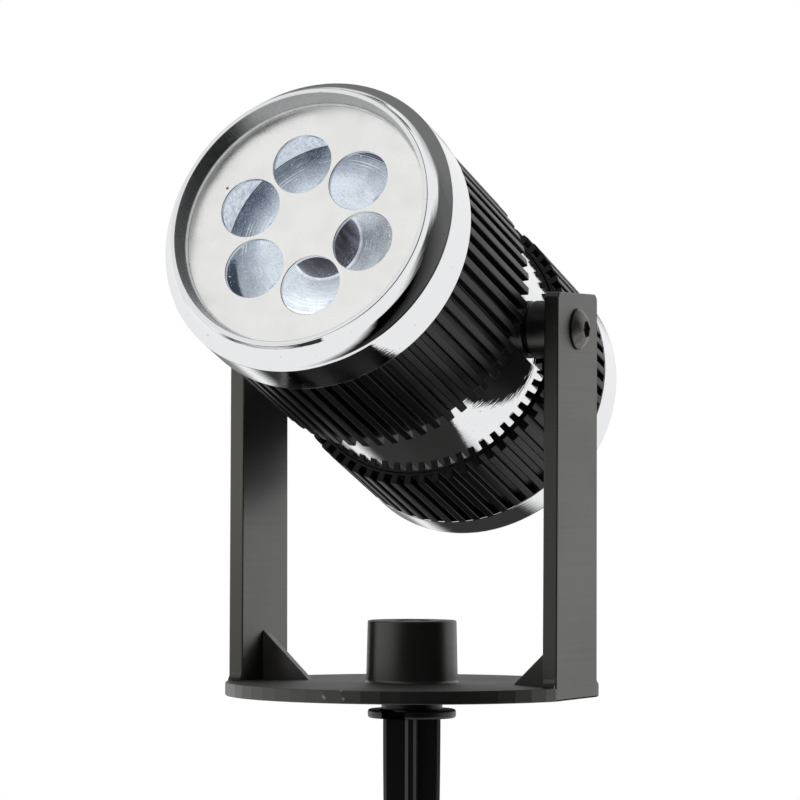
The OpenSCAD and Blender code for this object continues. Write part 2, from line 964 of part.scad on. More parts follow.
module driver_tray() {
    flange_u = spreader_back - tray_t;
    color(satin)
        on_head()
            difference() {
                union() {
                    translate([-tray_w / 2, -tray_drop - tray_t, spreader_back - tray_len])
                        cube([tray_w, tray_t, tray_len]);
                    translate([-tray_w / 2, -tray_drop - tray_t, flange_u])
                        cube([tray_w, tray_flange_h + tray_t, tray_t]);
                    at_pegs() {
                        cylinder(h = standoff_h, d = standoff_d);
                        cylinder(h = standoff_h + driver_t, d = peg_d);
                    }
                }
                translate([0, 0, flange_u])
                    at_tray_screws()
                        translate([0, 0, tray_t])
                            screw_hole(tray_t + past);
            }
}

module tray_screws() {
    color(dark_steel)
        on_head()
            translate([0, 0, spreader_back - tray_t])
                rotate([0, 180, 0])
                    at_tray_screws()
                        small_screw(tray_t);
}

module driver_board() {
    color(board_green)
        difference() {
            on_head()
                translate([-driver_w / 2, driver_y, driver_front - driver_len])
                    cube([driver_w, driver_t, driver_len]);
            on_head()
                at_pegs()
                    cylinder(h = standoff_h + driver_t + past, d = peg_d + 2 * fit_gap);
        }
}

module transformer() {
    color(tape_yellow)
        on_driver(transformer_x, driver_mid, transformer_w, transformer_len, transformer_h);
}

module capacitor() {
    color(can_blue)
        on_head()
            translate([capacitor_x, driver_top, driver_mid])
                rotate([-90, 0, 0])
                    cylinder(h = capacitor_h, d = capacitor_d);
}

module control_chip() {
    color(rubber)
        on_driver(chip_x, driver_back + chip_inset, chip_w, chip_w, chip_h);
}

module input_terminal() {
    middle = driver_back + terminal_inset + terminal_len / 2;
    color(terminal_green)
        on_driver(terminal_x, middle, terminal_w, terminal_len, terminal_h);
}

module output_terminal() {
    middle = terminal_front - terminal_len / 2;
    width = lead_pitch + lead_d + 2 * terminal_wall;
    color(terminal_green)
        on_driver(0, middle, width, terminal_len, terminal_top - driver_top);
}

module lead_wire(side) {
    color(side > 0 ? lead_red : black_plastic)
        on_head()
            translate([side * lead_pitch / 2, 0, terminal_front])
                cylinder(h = board_u - terminal_front, d = lead_d);
}

// Rear end

module rear_gasket() {
    color(rubber)
        on_head()
            translate([0, 0, cover_front])
                difference() {
                    cylinder(h = gasket_t, r = core_r - end_gap);
                    translate([0, 0, -past])
                        cylinder(h = gasket_t + 2 * past, r = bore_rear_r);
                }
}

module rear_cover() {
    color(black_metal)
        on_head()
            translate([0, 0, cover_back])
                difference() {
                    cylinder(h = cover_t, r = core_r - end_gap);
                    translate([0, 0, -past])
                        cylinder(h = cover_t + 2 * past, r = stem_r + fit_gap);
                }
}

module rear_ring() {
    bore_r = core_r + fit_gap;
    color(polished)
        on_head()
            translate([0, 0, back_u])
                rotate_extrude()
                    polygon(concat(
                        [[bore_r, rear_len], [bore_r, rear_ledge], [ledge_r, rear_ledge], [ledge_r, 0]],
                        arc([rear_r - rear_round, rear_round], rear_round, -90, 0),
                        [[rear_r, rear_len]]
                    ));
}

module gland_body() {
    color(black_plastic)
        on_gland()
            difference() {
                union() {
                    translate([0, 0, stem_start])
                        cylinder(h = stem_end - stem_start, r = stem_r);
                    cylinder(h = gland_hex_t, r = gland_hex_r, $fn = 6);
                }
                translate([0, 0, stem_start - past])
                    cylinder(h = stem_end - stem_start + 2 * past, r = gland_bore_r);
                translate([0, 0, seal_start])
                    cylinder(h = stem_end, r = seal_r + fit_gap);
            }
}

module gland_seal() {
    color(rubber)
        on_gland()
            translate([0, 0, seal_start])
                difference() {
                    cylinder(h = seal_len, r = seal_r);
                    translate([0, 0, -past])
                        cylinder(h = seal_len + 2 * past, d = cord_d);
                }
}

module gland_nut() {
    color(black_plastic)
        on_gland()
            difference() {
                translate([0, 0, cap_start])
                    cylinder(h = cap_end - cap_start, r = gland_hex_r, $fn = 6);
                translate([0, 0, cap_start - past])
                    cylinder(h = seal_end - cap_start + past, r = stem_r + fit_gap);
                translate([0, 0, cap_start])
                    cylinder(h = cap_end, r = gland_bore_r);
            }
}

module gland_locknut() {
    color(black_plastic)
        on_gland()
            translate([0, 0, -cover_t - locknut_t])
                difference() {
                    cylinder(h = locknut_t, r = gland_hex_r, $fn = 6);
                    translate([0, 0, -past])
                        cylinder(h = locknut_t + 2 * past, r = stem_r + fit_gap);
                }
}

stake();
swivel_washer();
swivel_screw();
yoke_bracket();
pivot_bolt(1);  // pivot_bolt_right
pivot_bolt(-1);  // pivot_bolt_left
pivot_boss(1);  // pivot_boss_right
pivot_boss(-1);  // pivot_boss_left
friction_washer(1);  // friction_washer_right
friction_washer(-1);  // friction_washer_left
pivot_nut(1);  // pivot_nut_right
pivot_nut(-1);  // pivot_nut_left
core_tube();
front_sleeve();
rear_sleeve();
front_bezel();
front_gasket();
face_plate();
reflector_cup();
for (i = [1 : hole_count])
    led_emitter(i - 1);
led_board();
board_screws();
led_connector();
heat_spreader();
driver_tray();
tray_screws();
driver_board();
transformer();
capacitor();
control_chip();
input_terminal();
output_terminal();
lead_wire(1);  // lead_wire_plus
lead_wire(-1);  // lead_wire_minus
rear_gasket();
rear_cover();
rear_ring();
gland_body();
gland_seal();
gland_nut();
gland_locknut();
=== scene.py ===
"""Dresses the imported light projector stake: turned and lofted shells, procedural finishes, a white studio."""
import json
from math import acos, asin, atan2, cos, degrees, hypot, pi, radians, sin, sqrt, tan
import bpy
import bmesh
import numpy as np
from mathutils import Matrix, Vector
from mathutils.geometry import tessellate_polygon


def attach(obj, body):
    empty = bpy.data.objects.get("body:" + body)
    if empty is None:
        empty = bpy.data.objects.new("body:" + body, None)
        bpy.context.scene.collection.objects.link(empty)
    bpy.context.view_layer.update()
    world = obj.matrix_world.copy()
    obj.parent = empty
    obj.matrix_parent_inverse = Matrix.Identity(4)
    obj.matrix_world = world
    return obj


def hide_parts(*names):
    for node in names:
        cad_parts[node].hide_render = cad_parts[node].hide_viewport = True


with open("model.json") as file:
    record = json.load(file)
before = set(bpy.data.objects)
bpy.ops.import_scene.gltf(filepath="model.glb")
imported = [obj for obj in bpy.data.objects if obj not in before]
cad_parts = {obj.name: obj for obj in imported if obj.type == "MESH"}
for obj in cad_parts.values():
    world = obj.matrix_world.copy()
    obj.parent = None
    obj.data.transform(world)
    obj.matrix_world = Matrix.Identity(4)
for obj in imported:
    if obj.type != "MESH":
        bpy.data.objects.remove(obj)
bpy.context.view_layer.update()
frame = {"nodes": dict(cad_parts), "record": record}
NODES = frame["nodes"]
MM = 0.001

# Sizes in millimetres, as in the part's source
FIT, FACE_GAP, SIDE_GAP, END_GAP = 0.05, 0.05, 0.2, 0.2
FLANGE_T, NECK_H, PLATE_T, PIVOT_H = 2.4, 3.6, 3.5, 94.9
PLATE_Z = FLANGE_T + NECK_H + FACE_GAP
PLATE_TOP = PLATE_Z + PLATE_T
PIVOT_Z = PLATE_TOP + PIVOT_H
TILT = radians(21.2)
BEAM = np.array([0, -cos(TILT), sin(TILT)])

CORE_R, BORE_FRONT_R, BORE_REAR_R = 36.75, 34.0, 33.0
DISC_R = CORE_R - SIDE_GAP
SLEEVE_FLOOR_R, SLEEVE_R, RIBS, GROOVE_W = 37.5, 40.0, 60, 2.05
BEZEL_R, LEDGE_R, LIP_IN_R, LIP_LAND, LIP_DRAFT = 40.6, 33.9, 34.9, 1.2, 1.35
RING_ROUND, SHOULDER_RISE, SHOULDER_HOLLOW = 0.8, 2.3, 0.26
BAND_FRONT, BAND_REAR, FRONT_SLEEVE_LEN, REAR_SLEEVE_LEN = 16.2, 11.6, 42.1, 29.4
RING_LEN, LIP_RISE, RECESS, GASKET_T, GASKET_LIP, FACE_T = 12.7, 6.0, 4.7, 0.7, 0.45, 1.0
CUP_DEPTH, CUP_FLOOR, CUP_WALL, HUB_R, PLUG_ROOM_R, PLUG_ROOM_H = 12.6, 2.0, 5.1, 9.3, 4.7, 5.2
BOARD_T, SPREADER_T = 1.6, 6.0
BEZEL_U = BAND_FRONT + FRONT_SLEEVE_LEN
BEZEL_LEN = RING_LEN + LIP_RISE
FACE_U = BEZEL_U + BEZEL_LEN - RECESS - GASKET_T
CORE_FRONT = FACE_U - FACE_T
FLOOR_U = CORE_FRONT - CUP_DEPTH
BOARD_U = FLOOR_U - CUP_FLOOR
SPREADER_BACK = BOARD_U - BOARD_T - SPREADER_T
REAR_U = -BAND_REAR - REAR_SLEEVE_LEN
REAR_R, REAR_LEN, REAR_ROUND, REAR_LEDGE, COVER_T = 40.0, 10.2, 2.0, 1.5, 3.0
BACK_U = REAR_U - REAR_LEN
COVER_BACK = BACK_U + REAR_LEDGE
CORE_BACK = COVER_BACK + COVER_T + GASKET_T
HOLES, HOLE_R, HOLE_PITCH, HOLE_TURN = 6, 8.18, 17.6, radians(-16.3)
CHANNEL_R = BORE_FRONT_R - CUP_WALL
LED_W, LED_H, LED_R, LED_ROOM_R = 2.2, 0.7, 0.9, 1.755

ARM_CLEAR, ARM_T, ARM_FOOT, ARM_TOP, ARM_OVER, ARM_ROUND = 3.5, 4.1, 28.0, 27.0, 9.6, 2.0
ARM_IN = BEZEL_R + ARM_CLEAR
ARM_OUT = ARM_IN + ARM_T
FOOT_FILLET, GUSSET_REACH, GUSSET_H, GUSSET_T = 2.6, 13.8, 13.4, 2.8
PLATE_SIDES, PLATE_RIM = 60, 0.1
PLATE_IN_R = hypot(ARM_OUT, ARM_FOOT / 2) + PLATE_RIM
PLATE_R = PLATE_IN_R / cos(pi / PLATE_SIDES)
SPIGOT_R, NECK_R, POST_R, POST_FOOT_R, POST_H, POST_WEB = 6.0, 8.25, 12.0, 12.35, 16.7, 3.0
POST_TOP = PLATE_TOP + POST_H
WASHER_IN_R, WASHER_R, WASHER_T = 2.05, 4.7, 0.8
SCREW_R, SCREW_HOLE_R, SCREW_LEN, SCREW_HEAD_R, SCREW_HEAD_H = 2.0, 2.4, 9.0, 3.5, 2.6
SCREW_KEY_R, SCREW_KEY_H, SINK_R, SINK_SPARE = 1.75, 1.3, 5.1, 0.2
SINK_Z = POST_TOP - WASHER_T - SCREW_HEAD_H - SINK_SPARE - FACE_GAP
SOCKET_TOP = SINK_Z - POST_WEB
SPIGOT_TOP = SOCKET_TOP - END_GAP
WASHER_Z = SINK_Z + FACE_GAP
BOLT_R, BOLT_HEAD_R, BOLT_HEAD_H, BOLT_KEY_R, BOLT_KEY_H = 3.0, 5.5, 2.9, 2.3, 1.6
BOSS_R, FRICTION_T, FLAT_HALF, NUT_X = 7.7, 0.6, 9.25, 25.0
FLAT_X = sqrt(CORE_R ** 2 - FLAT_HALF ** 2)
FRICTION_X = ARM_IN - FACE_GAP - FRICTION_T
SPIKE_LEN, FIN_SPAN, FIN_T, FIN_TURN, TIP_W, FLANGE_R = 150.0, 15.5, 3.0, radians(22), 1.6, 11.9
SEAL_R, CORD_R, STEM_R, GLAND_HEX_R, GLAND_BORE_R = 4.6, 3.2, 6.05, 9.25, 3.5
GLAND_HEX_T, SEAL_START, SEAL_LEN, STEM_START, CAP_GAP, CAP_WALL = 4.0, 6.0, 6.8, -8.0, 0.6, 1.7
SEAL_END = SEAL_START + SEAL_LEN
CAP_START, CAP_END = GLAND_HEX_T + CAP_GAP, SEAL_END + CAP_WALL

# Places of dirt and chips, and radii and depths of tool grooves, in millimetres
FACE_DIRT = [(-24.6, -62.9, 140.2)]
PLATE_CHIPS = [(-2.5, -50.2, 7.9), (-2.2, -50.2, 7.4), (3.2, -50.2, 7.4), (2.6, -50.0, 9.5)]
FLOOR_GROOVES = [(25.6, 0.04), (23.1, 0.05), (20.4, 0.03), (16.9, 0.05), (14.2, 0.03), (12.3, 0.04)]
# Angles round the beam for painted light: the side of the channel's wall painted as lit, and the side
# of its floor painted brightest
LIGHT_TURN, LIT_FLOOR_TURN = radians(135), radians(262)
# For picking faces: how far the normals of walls and of slanted edges run along the beam at most, how near to
# a wall its faces lie, and how wide the disc's outer rim is
WALL_ALONG, EDGE_ALONG, WALL_NEAR, RIM_W = 0.6, 0.97, 0.45, 2.0


# Places

def split(points):
    """The coordinates of points as separate arrays."""
    return np.moveaxis(np.asarray(points, float), -1, 0)


def spin(x, y, angle):
    """Two coordinates turned by an angle."""
    return x * np.cos(angle) - y * np.sin(angle), x * np.sin(angle) + y * np.cos(angle)


def upright(points):
    """The part's own frame: millimetres to metres."""
    return np.asarray(points, float) * MM


def on_head(points):
    """Head frame to the part's: x stays, y leans by the tilt, z runs along the beam from the tilt axis."""
    x, y, z = split(points)
    y, z = spin(y, z, pi / 2 - TILT)
    return upright(np.stack([x, y, z + PIVOT_Z], -1))


def on_pivot(side):
    """Frame on the tilt axis whose z points out through the right arm for side 1, the left arm for -1."""
    def place(points):
        x, y, z = split(points)
        return on_head(np.stack([side * z, y, -side * x], -1))
    return place


def on_hole(index):
    """Head frame shifted to the axis of one light hole and turned with the ring of holes."""
    def place(points):
        x, y, z = split(points)
        x, y = spin(x + HOLE_PITCH, y, HOLE_TURN + index * 2 * pi / HOLES)
        return on_head(np.stack([x, y, z], -1))
    return place


def on_gland(points):
    """Frame behind the rear cover whose z points backwards out of the gland."""
    return on_head(np.asarray(points, float) * [1, -1, -1] + [0, 0, COVER_BACK])


def on_fins(points):
    """The part's frame turned with the stake's fins."""
    x, y, z = split(points)
    x, y = spin(x, y, FIN_TURN)
    return upright(np.stack([x, y, z], -1))


def along_x(start):
    """Frame of a slab whose outline lies in Y and Z and whose thickness runs along X."""
    def place(points):
        y, z, x = split(points)
        return upright(np.stack([x + start, y, z], -1))
    return place


# Outlines

def arc(centre, radius, start, end, steps=10):
    """Points on a circle about a centre from one angle to another, in degrees."""
    angle = np.radians(np.linspace(start, end, steps + 1))
    return np.stack([centre[0] + radius * np.cos(angle), centre[1] + radius * np.sin(angle)], -1)


def circle(radius, count):
    """Points on a circle, counter-clockwise from +x."""
    return arc((0, 0), radius, 0, 360, count)[:-1]


def rounded(corners, steps=4, hold=0.06):
    """Closed outline from corners (x, y, radius): each corner is an arc that touches both of its edges, and a
    point a little way along each edge holds the flat beside it flat."""
    corner = np.asarray(corners, float)
    here, radius = corner[:, :2], corner[:, 2]
    back, ahead = np.roll(here, 1, 0) - here, np.roll(here, -1, 0) - here
    back_len, ahead_len = np.linalg.norm(back, axis=1), np.linalg.norm(ahead, axis=1)
    back, ahead = back / back_len[:, None], ahead / ahead_len[:, None]
    points = []
    for p, r, a, b, la, lb in zip(here, radius, back, ahead, back_len, ahead_len):
        half = acos(np.clip(a @ b, -1, 1)) / 2
        if r <= 0 or abs(half - pi / 2) < 1e-4:
            points.append(p[None])
            continue
        reach = r / tan(half)
        middle = p + (a + b) / np.linalg.norm(a + b) * r / sin(half)
        first, last = p + a * reach - middle, p + b * reach - middle
        turn = atan2(first[0] * last[1] - first[1] * last[0], first @ last)
        bend = np.stack(spin(first[0], first[1], np.linspace(0, turn, steps + 1)), -1) + middle
        before = [p + a * (reach + hold)] if la > reach + hold * 2.5 else []
        after = [p + b * (reach + hold)] if lb > reach + hold * 2.5 else []
        points.append(np.array([*before, *bend, *after]))
    return np.concatenate(points)


def ring_section(inner, outer, low, high, softs, steps=3, hold=0.06):
    """Section of a plain ring, its corners rounded from the inner low one round to the inner high one."""
    corners = [(inner, low), (outer, low), (outer, high), (inner, high)]
    return rounded([(*corner, soft) for corner, soft in zip(corners, softs)], steps, hold)


def inset(outline, distance):
    """Outline moved inwards: every point goes along the mean of its two edges' inward normals."""
    ahead = np.roll(outline, -1, 0) - outline
    ahead /= np.linalg.norm(ahead, axis=1)[:, None]
    normal = np.stack([-ahead[:, 1], ahead[:, 0]], -1)
    mean = normal + np.roll(normal, 1, 0)
    mean /= np.maximum((mean * mean).sum(1, keepdims=True) / 2, 0.4)
    return outline + mean * distance


def at_height(outline, z):
    """A flat outline lifted to a height."""
    return np.column_stack([outline, np.full(len(outline), z)])


# Meshes

def grid_faces(rows, columns, closed_rows):
    """Quads of a grid whose columns join round, and whose rows do too where closed_rows is true."""
    row = np.arange(rows if closed_rows else rows - 1)[:, None]
    column = np.arange(columns)[None]
    after_row, after_column = (row + 1) % rows, (column + 1) % columns
    return np.stack([row * columns + column, row * columns + after_column,
                     after_row * columns + after_column, after_row * columns + column], -1).reshape(-1, 4)


def finish_shading(mesh, sharp):
    """Smooth faces with sharp edges by angle."""
    mesh.polygons.foreach_set("use_smooth", np.ones(len(mesh.polygons), bool))
    mesh.set_sharp_from_angle(angle=radians(sharp))
    mesh.update()


def shell(points, faces, sharp=32):
    """Mesh with doubled points merged, faces turned outwards by the sign of its volume, and smooth shading
    that breaks at edges sharper than the given angle."""
    mesh = bpy.data.meshes.new("shell")
    mesh.from_pydata(np.asarray(points, float).reshape(-1, 3), [], faces)
    work = bmesh.new()
    work.from_mesh(mesh)
    bmesh.ops.remove_doubles(work, verts=work.verts, dist=2e-7)
    bmesh.ops.dissolve_degenerate(work, edges=work.edges, dist=1e-8)
    if work.calc_volume(signed=True) < 0:
        bmesh.ops.reverse_faces(work, faces=work.faces)
    work.to_mesh(mesh)
    work.free()
    finish_shading(mesh, sharp)
    return mesh


def loft(rows, place, closed_rows=False, sharp=32):
    """Surface through rows of points: row by row along one parameter, round each row along the other. Open
    ends are closed with flat caps."""
    grid = np.asarray(rows, float)
    count, columns = grid.shape[:2]
    faces = grid_faces(count, columns, closed_rows).tolist()
    if not closed_rows:
        faces.append(list(range(columns - 1, -1, -1)))
        faces.append(list(range((count - 1) * columns, count * columns)))
    return shell(place(grid), faces, sharp)


def turned(profile, place, steps=192, closed=True):
    """Surface of revolution: the profile's radius goes round the z axis, its height stays. An open profile
    starts and ends on the axis."""
    ring = circle(1.0, steps)
    grid = np.stack([at_height(ring * radius, height) for radius, height in profile])
    return shell(place(grid), grid_faces(len(grid), steps, closed).tolist())


def slab_rows(outline, low, high, edge, steps=3, hold=0.05):
    """Rows of a slab with rounded edges: near each face the outline moves inwards on a quarter circle."""
    turn = np.linspace(0, pi / 2, steps + 1)
    shift = np.concatenate([[edge + hold], edge * (1 - np.sin(turn)), [0.0]])
    rise = np.concatenate([[0.0], edge * (1 - np.cos(turn)), [edge + hold]])
    lower = [at_height(inset(outline, s), low + z) for s, z in zip(shift, rise)]
    upper = [at_height(inset(outline, s), high - z) for s, z in zip(shift[::-1], rise[::-1])]
    return lower + upper


def slab(outline, low, high, edge, place):
    """Outline carried straight up from low to high, with rounded edges and flat faces."""
    return loft(slab_rows(outline, low, high, edge), place)


def ring_slab(outline, bore, low, high, edge, place, sharp=32):
    """Outline carried straight up round a bore: the outer rows, then the bore's circle back down."""
    angle = np.arctan2(outline[:, 1], outline[:, 0])
    hole = np.stack([np.cos(angle), np.sin(angle)], -1)
    rows = slab_rows(outline, low, high, edge)
    rows += [at_height(hole * (bore + edge), high), at_height(hole * bore, high - edge),
             at_height(hole * bore, low + edge), at_height(hole * (bore + edge), low)]
    return loft(rows, place, closed_rows=True, sharp=sharp)


def plug(radius, low, high, place=upright):
    """Plain round cutter."""
    return turned([[0, low], [radius, low], [radius, high], [0, high]], place, 96, closed=False)


def socket_screw(steps, key_r, top, floor, flare, soft, cone):
    """Screw from its shank's end to its socket's floor: circles at given radii and heights, then a hexagon
    that starts a little wider and ends in a flat cone. The hexagon's radius is the flats' distance divided by
    the cosine of the angle to the nearest flat's middle."""
    count = 96
    side = (np.linspace(0, 2 * pi, count, endpoint=False) + pi / 6) % (pi / 3) - pi / 6
    hexagon = circle(1.0, count) * (key_r * cos(pi / 6) / np.cos(side))[:, None]
    rows = [at_height(circle(radius, count), height) for radius, height in steps]
    return rows + [at_height(hexagon * flare, top), at_height(hexagon, top - soft),
                   at_height(hexagon, floor), at_height(hexagon * 0.05, floor - cone)]


def merged(meshes):
    """Several closed shells put into one mesh."""
    work = bmesh.new()
    for mesh in meshes:
        work.from_mesh(mesh)
    joined = bpy.data.meshes.new("merged")
    work.to_mesh(joined)
    work.free()
    return joined


def placed(name, data):
    """An object put into the scene."""
    made = bpy.data.objects.new(name, data)
    bpy.context.scene.collection.objects.link(made)
    return made


def fused(base, added=(), removed=(), sharp=32):
    """One closed shell: the base with shells added to it and then others cut from it."""
    body = placed("work", base)
    helpers = []
    for operation, meshes in (("UNION", added), ("DIFFERENCE", removed)):
        for mesh in meshes:
            helpers.append(placed("helper", mesh))
            step = body.modifiers.new(operation, "BOOLEAN")
            step.operation = operation
            step.solver = "MANIFOLD"
            step.object = helpers[-1]
    view = bpy.context.evaluated_depsgraph_get()
    mesh = bpy.data.meshes.new_from_object(body.evaluated_get(view))
    for thing in helpers + [body]:
        bpy.data.objects.remove(thing)
    finish_shading(mesh, sharp)
    return mesh


def piece(name, mesh, node, slot, *more, main=None, body="head", flat=False):
    """A finished piece: it rides on a body and stands for its node. Its slot gives its main finish, unless
    another is named, and more finishes can follow."""
    made = placed(name, mesh)
    mesh.name = name
    mesh.materials.clear()
    for material in (main or BY_SLOT[slot], *more):
        mesh.materials.append(material)
    if flat:
        made.modifiers.new("flat faces", "WEIGHTED_NORMAL").keep_sharp = True
    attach(made, body)
    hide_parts(node)


def mark(mesh, pick):
    """Numbers each face's finish: pick gets the faces' distances from the beam's axis in millimetres, and how
    far their normals run along the beam."""
    normal, middle = np.empty((2, len(mesh.polygons) * 3))
    mesh.polygons.foreach_get("normal", normal)
    mesh.polygons.foreach_get("center", middle)
    reach = middle.reshape(-1, 3) - [0, 0, PIVOT_Z * MM]
    radius = np.linalg.norm(reach - np.outer(reach @ BEAM, BEAM), axis=1) / MM
    chosen = pick(radius, np.abs(normal.reshape(-1, 3) @ BEAM))
    mesh.polygons.foreach_set("material_index", chosen.astype(np.int32))


# Shader tools

class Nodes:
    """A node tree that is being filled: each method adds one node or a few and gives back an output."""

    def __init__(self, tree, spot=None):
        self.tree, self.spot = tree, spot

    def join(self, source, target):
        """Links an output to an input, or sets the input to a plain value. A colour gets its alpha."""
        if isinstance(source, bpy.types.NodeSocket):
            self.tree.links.new(source, target)
        else:
            target.default_value = (*source, 1.0) if target.type == "RGBA" else source

    def add(self, kind, inputs=(), **settings):
        """A shader node of a kind, with its settings, and its inputs by name or number."""
        made = self.tree.nodes.new("ShaderNode" + kind)
        for key, value in settings.items():
            setattr(made, key, value)
        for key, value in dict(inputs).items():
            self.join(value, made.inputs[key])
        return made

    def out(self, kind, inputs=(), **settings):
        """A node's first output."""
        return self.add(kind, inputs, **settings).outputs[0]

    def maths(self, operation, first, second=0.0, third=0.0, clamp=False):
        """One step of arithmetic."""
        return self.out("Math", {0: first, 1: second, 2: third}, operation=operation, use_clamp=clamp)

    def mul(self, first, second, clamp=False):
        """The product of two values."""
        return self.maths("MULTIPLY", first, second, clamp=clamp)

    def mul_add(self, value, factor, more, clamp=False):
        """A value times a factor, plus something more."""
        return self.maths("MULTIPLY_ADD", value, factor, more, clamp)

    def vector(self, operation, first, second=(0, 0, 0)):
        """One step of arithmetic on vectors."""
        made = self.add("VectorMath", {0: first, 1: second}, operation=operation)
        return made.outputs["Value" if operation in ("DISTANCE", "LENGTH", "DOT_PRODUCT") else "Vector"]

    def parts(self, vector):
        """The three parts of a vector."""
        return self.add("SeparateXYZ", {0: vector}).outputs

    def spread(self, value, low, high, to_low=0.0, to_high=1.0):
        """A value carried from one range to another, held at the ends."""
        return self.out("MapRange", {0: value, 1: low, 2: high, 3: to_low, 4: to_high})

    def soft(self, value, low, high):
        """A smooth step from 0 at low to 1 at high."""
        return self.out("MapRange", {0: value, 1: low, 2: high}, interpolation_type="SMOOTHSTEP")

    def noise(self, scale, detail=3.0, roughness=0.55, at=None):
        """Soft noise between 0 and 1."""
        return self.out("TexNoise", {"Vector": at or self.spot, "Scale": scale, "Detail": detail,
                                     "Roughness": roughness})

    def line_noise(self, at, scale, detail):
        """Noise along one value."""
        return self.out("TexNoise", {"W": at, "Scale": scale, "Detail": detail}, noise_dimensions="1D")

    def blend(self, factor, first, second):
        """A colour mixed from two colours by a factor."""
        return self.add("Mix", {0: factor, 6: first, 7: second}, data_type="RGBA").outputs[2]


def handling_group():
    """Marks of handling: smudges are broad soft noise, specks are the rare peaks of fine noise."""
    tree = bpy.data.node_groups.new("handling marks", "ShaderNodeTree")
    sockets = tree.interface
    sockets.new_socket("Vector", in_out="INPUT", socket_type="NodeSocketVector")
    for word in ("Smudge", "Speck"):
        sockets.new_socket(word + " scale", in_out="INPUT", socket_type="NodeSocketFloat")
        sockets.new_socket(word, in_out="OUTPUT", socket_type="NodeSocketFloat")
    source, target = tree.nodes.new("NodeGroupInput").outputs, tree.nodes.new("NodeGroupOutput").inputs
    group = Nodes(tree, source["Vector"])
    for word, detail, low, high in (("Smudge", 4.0, 0.42, 0.68), ("Speck", 1.0, 0.72, 0.78)):
        group.join(group.spread(group.noise(source[word + " scale"], detail), low, high), target[word])
    return tree


HANDLING = handling_group()


class Finish(Nodes):
    """A material on a Principled BSDF: plain values go straight to its sockets, paint links the rest."""

    def __init__(self, name, paint, **plain):
        self.material = bpy.data.materials.new(name)
        self.material.use_nodes = True
        super().__init__(self.material.node_tree)
        self.shader = self.tree.nodes["Principled BSDF"]
        self.coords = self.add("TexCoord").outputs
        self.spot = self.coords["Object"]
        self.feed(**plain)
        paint(self)

    def feed(self, **sockets):
        """Values for the shader's sockets, whose names are written with underscores."""
        for socket, value in sockets.items():
            self.join(value, self.shader.inputs[socket.replace("_", " ")])

    def bump(self, height, distance):
        """Surface relief from a height."""
        self.feed(Normal=self.out("Bump", {"Height": height, "Distance": distance, "Strength": 1.0}))

    def handling(self, smudge_scale, speck_scale):
        """The smudge mask and the speck mask of the shared handling marks."""
        return self.add("Group", {"Vector": self.spot, "Smudge scale": smudge_scale,
                                  "Speck scale": speck_scale}, node_tree=HANDLING).outputs

    def from_pivot(self):
        """Object coordinates moved to the tilt axis."""
        return self.vector("ADD", self.spot, (0, 0, -PIVOT_Z * MM))

    def head_axis(self):
        """Object coordinates in the head's frame: from the tilt axis, with z along the beam."""
        return self.out("VectorRotate", {"Vector": self.from_pivot(), "Angle": TILT - pi / 2},
                        rotation_type="X_AXIS")

    def round_beam(self):
        """The angle round the beam."""
        x, y = self.parts(self.head_axis())[:2]
        return self.maths("ARCTAN2", y, x)

    def along_beam(self):
        """The place along the beam."""
        return self.parts(self.head_axis())[2]

    def drawn(self, scale, along):
        """Noise in the head's frame, drawn out along the beam."""
        longer = self.out("Mapping", {"Vector": self.head_axis(), "Scale": (1.0, 1.0, along)})
        return self.noise(scale, 2.0, at=longer)

    def strokes(self, turns, rows, detail):
        """Noise whose cells are counted round the beam and along it."""
        angle, along = self.mul(self.round_beam(), turns), self.mul(self.along_beam(), rows)
        return self.noise(1.0, detail, at=self.out("CombineXYZ", {0: angle, 1: along}))

    def towards(self, side):
        """Cosine of the angle round the beam from one side."""
        return self.maths("COSINE", self.maths("SUBTRACT", self.round_beam(), side))

    def marks_at(self, places, radius):
        """Small marks: 1 within the radius of any of the places, ragged by noise, and 0 outside."""
        near = 1.0
        for place in places:
            gap = self.vector("DISTANCE", self.spot, tuple(np.array(place) * MM))
            near = self.maths("MINIMUM", near, gap)
        ragged = self.mul_add(self.noise(2500.0, 2.0), radius * MM, near)
        return self.spread(ragged, 1.2 * radius * MM, 1.6 * radius * MM, 1.0, 0.0)


# Finishes

BLACK, WHITE = (0.0, 0.0, 0.0), (1.0, 1.0, 1.0)


def mirror_metal(m):
    """Polished metal: smudges dull it, rare specks darken it, and short polishing strokes round the beam
    fray what it reflects."""
    smudge, speck = m.handling(55.0, 900.0)
    m.feed(Base_Color=m.blend(m.mul(speck, 0.5), (0.80, 0.805, 0.815), (0.48, 0.47, 0.45)),
           Roughness=m.mul_add(speck, 0.15, m.mul_add(smudge, 0.03, 0.022)))
    m.bump(m.strokes(9.0, 1700.0, 1.5), 0.000018)


def bored_metal(m):
    """Bored inside of the lip: greyer than the polished ring, with fine marks along the beam."""
    marks = m.strokes(90.0, 80.0, 3.0)
    m.feed(Base_Color=m.blend(marks, (0.27, 0.28, 0.285), (0.54, 0.555, 0.56)),
           Roughness=m.mul_add(marks, 0.12, 0.2))
    m.bump(marks, 0.00003)


def satin_metal(m):
    """Blasted satin metal: fine grain in the relief, soft stains and one dark speck in the colour."""
    smudge, speck = m.handling(130.0, 1500.0)
    plain = m.blend(m.mul(smudge, 0.28), (0.885, 0.885, 0.875), (0.80, 0.80, 0.78))
    dirt = m.mul(m.marks_at(FACE_DIRT, 0.42), 0.9)
    m.feed(Base_Color=m.blend(dirt, plain, (0.03, 0.03, 0.03)), Roughness=m.mul_add(smudge, 0.06, 0.27))
    m.bump(m.mul_add(speck, 0.5, m.noise(4200.0, 2.0)), 0.000015)


